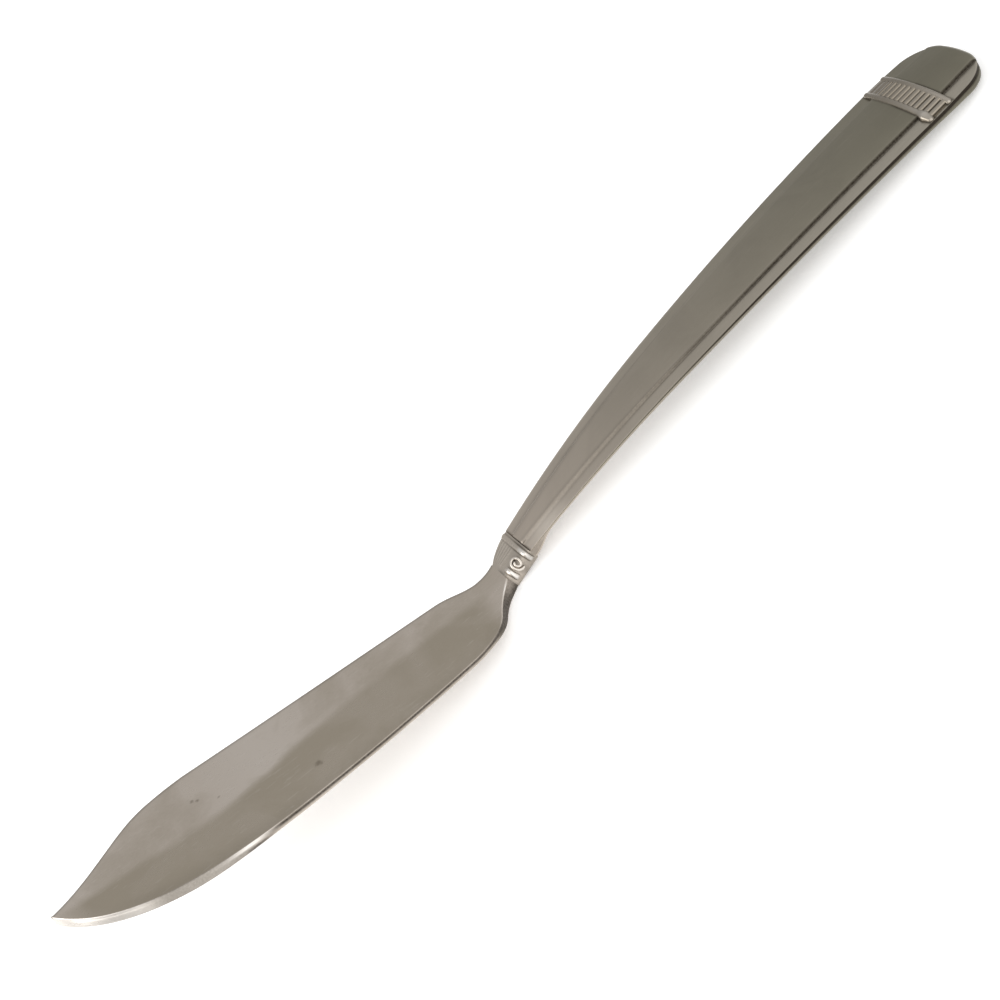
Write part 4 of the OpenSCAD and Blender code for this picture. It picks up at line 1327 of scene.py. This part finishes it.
def build_collar(form, material):
    """Collar: rounded four sided sections from the neck to the mouth, grown along their normals by two half
    round fillets and, between them on the back half, by short reeds. Its marks paint shade, with tarnish in
    the hollows, into the reeds' valleys, the lines beside the fillets and the scroll's ground, paint shade on
    the flank and the neck's end, and paint highlights on the fillets and the reeds' tops."""
    s = SIZES.collar
    x = np.linspace(-s.length, 0, COLLAR_STATIONS)[:, None]
    run = -x / s.length
    zero = 0 * x
    back = mixed(s.back_mouth, s.back_neck, run ** 2)
    belly = mixed(s.belly_mouth, s.belly_neck, run)
    flare = mixed(s.flare_mouth, s.flare_neck, run)
    rise = mixed(s.rise_mouth, s.rise_neck, run)
    low = zero - form.s.bottom
    pairs = ((back, low), (back, rise), (-belly, rise), (-belly - flare, low))
    corners = np.stack([np.concatenate(pair, 1) for pair in pairs], 1)
    radii = zero + np.array([s.low_round, s.back_round, s.shoulder, s.low_round])
    loops = rounded_loop(corners, radii, COLLAR_ARC, COLLAR_EDGES)
    y, h = loops[..., 0], loops[..., 1]
    shoulder = SHOULDER_SIDE(y)
    strengths = (mixed(MOUTH_BEAD, 1, BELLY_HALF_SIDE(y)), shoulder)
    beads = []
    lines = []
    for place, strength, dark in zip((s.mouth_fillet, s.neck_fillet), strengths, BEAD_DARK):
        off = np.abs(x + place)
        beads.append(quarter(1 - off / (s.fillet_w / 2)) * strength * BEAD_LOW(h))
        lines.append(BEAD_LINE(off - s.fillet_w * BEAD_SHARE) * strength * BEAD_LOW(h) * dark)
    between = REEDS_NECK(x + s.length) * REEDS_MOUTH(-s.mouth_fillet - REEDS_CLEAR - x)
    on_reeds = REEDS_SIDE(y) * REEDS_LOW(h) * between
    reed = np.abs(np.sin(pi * s.reeds * y / (back - s.back_round * REEDS_ROUND))) ** REED_POWER
    grow = s.fillet_h * np.maximum(*beads) + s.reed_h * reed * on_reeds
    loops = loops + loop_normals(loops) * grow[..., None]
    points = form.place(x, loops[..., 0], loops[..., 1])
    # Painted shade, with tarnish in the hollows: the reeds' valleys, the lines beside the fillets and the
    # scroll's ground; painted shade on the flank and the neck's end.
    valley = (1 - reed) ** VALLEY_POWER * on_reeds * VALLEY_DARK
    ground = SCROLL_DARK(np.hypot(x + s.scroll_x, y + s.scroll_y))
    neck_end = NECK_END(-s.neck_fillet - NECK_END_OUT - x) * NECK_END_SIDE(y)
    # Painted highlights on the fillets, strongest on the shoulder, and on the reeds' tops.
    mouth_highlight = beads[0] ** HIGHLIGHT_POWER * (MOUTH_HIGHLIGHT + MOUTH_HIGHLIGHT_SIDE * shoulder)
    neck_highlight = beads[1] ** HIGHLIGHT_POWER * NECK_HIGHLIGHT * shoulder
    worn = np.maximum(mouth_highlight, neck_highlight) + reed ** HIGHLIGHT_POWER * on_reeds * REED_HIGHLIGHT
    marks = {
        "groove": np.maximum.reduce([*lines, valley, ground, FLANK_SIDE(y), neck_end]),
        "worn": np.clip(worn, 0, 1),
        "shade": 0 * y,
    }
    return add_tube("reeded_collar", points, marks, material, "neck_collar")


SCROLL_STATIONS = 140
SCROLL_SIDES = 16
SCROLL_BEND = 1.9
SCROLL_HEAD, SCROLL_TAIL, SCROLL_BLUNT = 0.06, 0.03, 0.02
# Painted shade at the wire's foot and a painted highlight on its crest.
SCROLL_FOOT, SCROLL_CREST = Ramp(-2 / 3, 2 / 3, 0.8, 0), Ramp(3 / 14, 5 / 7, 0, 0.3)


def build_scroll(form, material):
    """Scroll: round wire along a spiral whose radius shrinks evenly with its turn, laid on the shoulder,
    which is taken as part of a round bar. The wire has painted shade at its foot and a painted highlight on
    its crest."""
    s = SIZES.collar
    t = np.linspace(0, 1, SCROLL_STATIONS)
    angle = s.scroll_start + 2 * pi * s.scroll_turns * t
    radius = mixed(s.scroll_r, s.scroll_eye, t)
    along = radius * np.cos(angle) * s.scroll_squeeze
    down = radius * np.sin(angle)
    bend = s.shoulder * SCROLL_BEND
    lean = s.scroll_lean + down / bend
    centre_y = -s.scroll_y + bend * sin(s.scroll_lean)
    centre_h = s.scroll_h - bend * cos(s.scroll_lean)
    path = np.stack([-s.scroll_x + along, centre_y - bend * np.sin(lean), centre_h + bend * np.cos(lean)], -1)
    outward = np.stack([0 * t, -np.sin(lean), np.cos(lean)], -1)
    heading = np.gradient(path, axis=0)
    heading /= np.linalg.norm(heading, axis=1, keepdims=True)
    across = np.cross(outward, heading)
    ends = quarter(t / SCROLL_HEAD + SCROLL_BLUNT) * quarter((1 - t) / SCROLL_TAIL + SCROLL_BLUNT)
    wire = mixed(s.wire_r, s.wire_end, t) * ends
    around = np.linspace(0, 2 * pi, SCROLL_SIDES, endpoint=False)[None, :, None]
    spoke = np.cos(around) * across[:, None] + np.sin(around) * outward[:, None]
    loops = path[:, None] + wire[:, None, None] * spoke
    points = form.place(loops[..., 0], loops[..., 1], loops[..., 2])
    high = np.sin(around)[..., 0]
    # Painted shade at the wire's foot and a painted highlight on its crest.
    marks = {"groove": SCROLL_FOOT(high), "worn": SCROLL_CREST(high), "shade": 0 * high}
    return add_tube("collar_scroll", points, marks, material, None)


# Band

def band_places(handle, band):
    """Places of the inner and the outer fillet along the handle."""
    outer = handle.length - band.outer_set
    return outer - band.pitch, outer


WIRE_STATIONS = 150
WIRE_SIDES = 20
WIRE_SUNK = 0.05
END_BLUNT = 0.01
SKIRT_POWER, SKIRT_FLARE = 0.25, 0.35
# Painted shade on the band's back side.
BACK_SIDE_SHADE = Ramp(-1, 5, 0, 0.8)
WIRE_SIDE = Ramp(-6, 8, 1, 0)
# Painted shade at the wire's foot; painted highlights on its crest and knob.
WIRE_FOOT, FOOT_DARK = Ramp(-0.40625, 0.625, 1, 0), (0.06, 0.72)
WIRE_CREST, CREST_HIGHLIGHT = Ramp(0.375, 0.625), (0.04, 0.16)
KNOB_HIGHLIGHT = 0.2


def build_fillet(form, name, place, knob, material, node):
    """Fillet wire: a half oval on a flared skirt, carried across the handle, over the panel and down to both
    ledges. Its ends are round, and a bell makes it thicker where it leaves the panel on the belly side."""
    s = SIZES.band
    reach = form.side_half(place) - s.short
    t = np.sin(np.linspace(-pi / 2, pi / 2, WIRE_STATIONS))
    y = reach * t
    carrier = front_height(form, np.full_like(y, place), y)
    crest = front_height(form, np.array(place), np.array(0.0))
    base = crest * (1 - np.abs(t) ** s.drape)
    ends = quarter((reach - np.abs(y)) / (s.wire_w / 2)) + END_BLUNT
    panel = form.panel_half(place)
    at_knob = knob * bump((y + panel + s.knob_out) / s.knob_len)
    swell = 1 + at_knob
    around = np.linspace(0, 2 * pi, WIRE_SIDES, endpoint=False)[None, :]
    half_w = (s.wire_w / 2 * swell * ends)[:, None]
    tall = (s.wire_h * swell * ends)[:, None]
    level = base[:, None]
    sunk = carrier[:, None] - WIRE_SUNK
    lift = np.sin(around)
    turned = np.cos(around)
    skirt = np.sign(turned) * np.abs(turned) ** SKIRT_POWER * (1 - SKIRT_FLARE * lift)
    x = place + half_w * np.where(lift < 0, skirt, turned)
    h = np.where(lift > 0, level + tall * lift, mixed(level, np.minimum(sunk, level), -lift))
    points = form.place(x, y[:, None] + 0 * around, h)
    # Painted shade at the wire's foot and on the back side; painted highlights on its crest, brightest on the
    # belly side, and on the knob.
    belly = WIRE_SIDE(y)[:, None]
    crest_highlight = WIRE_CREST(lift) * mixed(*CREST_HIGHLIGHT, belly)
    marks = {
        "groove": WIRE_FOOT(lift) * mixed(*FOOT_DARK, belly),
        "worn": crest_highlight + at_knob[:, None] * lift.clip(0, 1) * KNOB_HIGHLIGHT,
        "shade": BACK_SIDE_SHADE(y)[:, None] + 0 * lift,
    }
    turned_marks = {mark: amount[:, ::-1] for mark, amount in marks.items()}
    return add_tube(name, points[:, ::-1], turned_marks, material, node)


REED_STATIONS = 30
REED_COLUMNS = 24
STRIP_UNDER = 0.3
CLEAR_SIDE, CLEAR_HEIGHT, CLEAR_DARK = Ramp(3.2, 3.2, 1, 0), 0.25, 0.3
STRIP_SIDE = Ramp(-6, 9, 1, 0)
# Painted shade, with tarnish in the hollows, in the valleys and on the strip's rim; painted highlights on the
# reeds' tops.
STRIP_VALLEY, VALLEY_SIDES = Ramp(0, 1 / 2.2, 1, 0), (0.3, 0.85)
STRIP_HIGHLIGHT_POWER, STRIP_HIGHLIGHT = 4, (0.02, 0.08)
STRIP_RIM = 0.8


def build_reeds(form, material):
    """Reed strip: a thin plate over the panel and the ledges between the fillets, with half round reeds along
    the handle. Across it the height is a repeated half circle with a flat gap between two reeds, on the
    fillets' curve, and the reeds are lower towards the back side's edge."""
    s = SIZES.band
    inner, outer = band_places(form.s, s)
    under = s.wire_w * STRIP_UNDER
    x = np.linspace(inner + under, outer - under, REED_STATIONS)[:, None]
    side = form.side_half((inner + outer) / 2)
    t = np.linspace(-1, 1, s.reeds * REED_COLUMNS + 1)[None, :]
    y = (side - s.reed_short) * t + 0 * x
    phase = np.abs((t + 1) * s.reeds % 2 - 1)
    round_top = np.sqrt(np.clip(1 - (phase / (1 - s.reed_gap)) ** 2, 0, None)) + 0 * x
    carrier = front_height(form, x + 0 * t, y)
    crest = front_height(form, x, 0 * x)
    base = np.maximum(carrier, crest * (1 - np.abs(y / (side - s.short)) ** s.drape))
    clear = CLEAR_SIDE(y)
    top = base + s.strip_t + s.reed_h * round_top * mixed(CLEAR_HEIGHT, 1, clear)
    low = carrier - WIRE_SUNK
    # Painted shade, with tarnish in the hollows, in the valleys and on the strip's rim, painted shade on the
    # back side, and painted highlights on the reeds' tops.
    belly = STRIP_SIDE(y)
    groove = STRIP_VALLEY(round_top) * mixed(*VALLEY_SIDES, belly) * mixed(CLEAR_DARK, 1, clear)
    marks = {
        "groove": (groove, 0.0, STRIP_RIM),
        "worn": (round_top ** STRIP_HIGHLIGHT_POWER * mixed(*STRIP_HIGHLIGHT, belly), 0.0, 0.0),
        "shade": (BACK_SIDE_SHADE(y), 0.0, 0.0),
    }
    return add_slab("reed_strip", form.place(x + 0 * t, y, top), form.place(x + 0 * t, y, low), [], marks,
                    material, "end_reed_strip")


# Stage

FLOOR_SIDES = 96
FLOOR_RINGS = 12
FLOOR_FIRST = 0.02
CLIP_START = 0.01


def add_floor(stage, colours):
    """Round floor at the knife's lowest point: rings whose radius grows with the square of the step."""
    ring = (np.linspace(FLOOR_FIRST, 1, FLOOR_RINGS) ** 2 * stage.floor_r * MM)[:, None]
    around = np.linspace(0, 2 * pi, FLOOR_SIDES, endpoint=False)[None, :]
    points = np.stack([ring * np.cos(around), ring * np.sin(around), 0 * ring * around], -1)
    mesh = bpy.data.meshes.new("floor")
    faces = grid_quads(FLOOR_RINGS, FLOOR_SIDES, closed=True).tolist() + [list(range(FLOOR_SIDES))]
    mesh.from_pydata(points.reshape(-1, 3), [], faces)
    mesh.materials.append(floor_material(colours))
    floor = bpy.data.objects.new("floor", mesh)
    bpy.context.scene.collection.objects.link(floor)


def heading(azimuth, elevation):
    """Unit vector from +Y towards +X by the azimuth, and up by the elevation."""
    return Vector((sin(azimuth) * cos(elevation), cos(azimuth) * cos(elevation), sin(elevation)))


def add_camera(scene, stage):
    """Camera that looks down at a point on the floor, with the picture turned about the view."""
    forward = heading(stage.azimuth, -stage.elevation)
    level = forward.cross(Vector((0, 0, 1))).normalized()
    raised = level.cross(forward)
    right = cos(stage.roll) * level + sin(stage.roll) * raised
    up = cos(stage.roll) * raised - sin(stage.roll) * level
    camera = bpy.data.cameras.new("camera")
    camera.lens = stage.lens
    camera.sensor_width = stage.sensor
    camera.clip_start = CLIP_START
    camera.dof.use_dof = False
    holder = bpy.data.objects.new("camera", camera)
    target = Vector((stage.look_x, stage.look_y, 0)) * MM
    place = target - forward * stage.distance * MM
    turned = Matrix((right, up, -forward)).transposed()
    holder.matrix_world = Matrix.Translation(place) @ turned.to_4x4()
    scene.collection.objects.link(holder)
    scene.camera = holder


def add_lamps(scene, stage, colours):
    """A square lamp beside the tip, larger and softer ones beyond the handle's end and behind the camera, and
    an even grey studio."""
    for name in ("side", "fill", "front"):
        lamp = bpy.data.lights.new(name, "AREA")
        lamp.energy = getattr(stage, name + "_power")
        lamp.size = getattr(stage, name + "_size") * MM
        lamp.color = colours.lamp
        holder = bpy.data.objects.new(name, lamp)
        away = heading(getattr(stage, name + "_azimuth"), getattr(stage, name + "_elevation"))
        holder.location = away * stage.lamp_distance * MM
        holder.rotation_euler = away.to_track_quat("Z", "Y").to_euler()
        scene.collection.objects.link(holder)
    world = bpy.data.worlds.new("studio")
    world.use_nodes = True
    world.node_tree.nodes["Background"].inputs["Color"].default_value = (*colours.world, 1.0)
    scene.world = world
    scene.view_settings.view_transform = "Standard"


# Operators

def read_sizes(scene):
    """Reads every property group into plain values and sets up the handle's frame."""
    for key in GROUPS:
        setattr(SIZES, key.removeprefix("knife_"), values(getattr(scene, key)))
    return HandleFrame(SIZES.handle)


class KnifeStage(Operator):
    """Makes the pale floor, the soft lamps and the camera"""
    bl_idname = "knife.stage"
    bl_label = "Stage"

    def execute(self, context):
        read_sizes(context.scene)
        stage = SIZES.stage
        add_floor(stage, SIZES.finish)
        add_camera(context.scene, stage)
        add_lamps(context.scene, stage, SIZES.finish)
        return {"FINISHED"}


class KnifeHandle(Operator):
    """Makes the front and back shells of the handle"""
    bl_idname = "knife.handle"
    bl_label = "Handle shells"

    def execute(self, context):
        form = read_sizes(context.scene)
        material = handle_plate(SIZES.finish, form.shift[0], form.s.length)
        build_front(form, SIZES.band, material)
        build_back(form, material)
        return {"FINISHED"}


class KnifeSeam(Operator):
    """Makes the solder line in the seam between the shells"""
    bl_idname = "knife.seam"
    bl_label = "Seam"

    def execute(self, context):
        form = read_sizes(context.scene)
        build_solder(form, solder_material(SIZES.finish, form.shift[0]))
        return {"FINISHED"}


class KnifeFiller(Operator):
    """Makes the cement inside the handle"""
    bl_idname = "knife.filler"
    bl_label = "Filler"

    def execute(self, context):
        form = read_sizes(context.scene)
        build_filler(form, cement_material(SIZES.finish))
        return {"FINISHED"}


class KnifeBlade(Operator):
    """Makes the blade with its neck and tang"""
    bl_idname = "knife.blade"
    bl_label = "Blade"

    def execute(self, context):
        form = read_sizes(context.scene)
        colours = SIZES.finish
        material = plate_material("blade_plate", colours.blade, colours.blade_dull, colours.bright, colours,
                                  BLADE_ROUGH, BLADE_SCRATCHED, face_stains(form))
        build_blade(form, material)
        return {"FINISHED"}


class KnifeCollar(Operator):
    """Makes the reeded collar and its scroll"""
    bl_idname = "knife.collar"
    bl_label = "Collar"

    def execute(self, context):
        form = read_sizes(context.scene)
        material = trim_plate("collar_plate", SIZES.finish.collar, SIZES.finish)
        build_collar(form, material)
        build_scroll(form, material)
        return {"FINISHED"}


class KnifeBand(Operator):
    """Makes the two fillets and the reed strip near the handle's end"""
    bl_idname = "knife.band"
    bl_label = "End band"

    def execute(self, context):
        form = read_sizes(context.scene)
        inner, outer = band_places(form.s, SIZES.band)
        material = trim_plate("band_plate", SIZES.finish.trim, SIZES.finish)
        build_fillet(form, "inner_fillet", inner, SIZES.band.knob, material, "end_fillet_inner")
        build_fillet(form, "outer_fillet", outer, 0.0, material, "end_fillet_outer")
        build_reeds(form, material)
        return {"FINISHED"}


OPERATORS = (KnifeStage, KnifeHandle, KnifeSeam, KnifeFiller, KnifeBlade, KnifeCollar, KnifeBand)


class KnifePanel(Panel):
    """Lists the steps that build the knife"""
    bl_idname = "VIEW3D_PT_knife"
    bl_label = "Butter Knife"
    bl_space_type = "VIEW_3D"
    bl_region_type = "UI"
    bl_category = "Knife"

    def draw(self, context):
        for step in OPERATORS:
            self.layout.operator(step.bl_idname)
        for key in GROUPS:
            group = getattr(context.scene, key)
            box = self.layout.box()
            for prop in group.bl_rna.properties:
                if prop.identifier not in ("rna_type", "name"):
                    box.prop(group, prop.identifier)


CLASSES = (*GROUPS.values(), *OPERATORS, KnifePanel)


def register():
    for cls in CLASSES:
        bpy.utils.register_class(cls)
    for key, group in GROUPS.items():
        setattr(bpy.types.Scene, key, PointerProperty(type=group))


def unregister():
    for key in GROUPS:
        delattr(bpy.types.Scene, key)
    for cls in reversed(CLASSES):
        bpy.utils.unregister_class(cls)


def main():
    register()
    for step in OPERATORS:
        family, name = step.bl_idname.split(".")
        getattr(getattr(bpy.ops, family), name)()


if __name__ == "__main__":
    main()
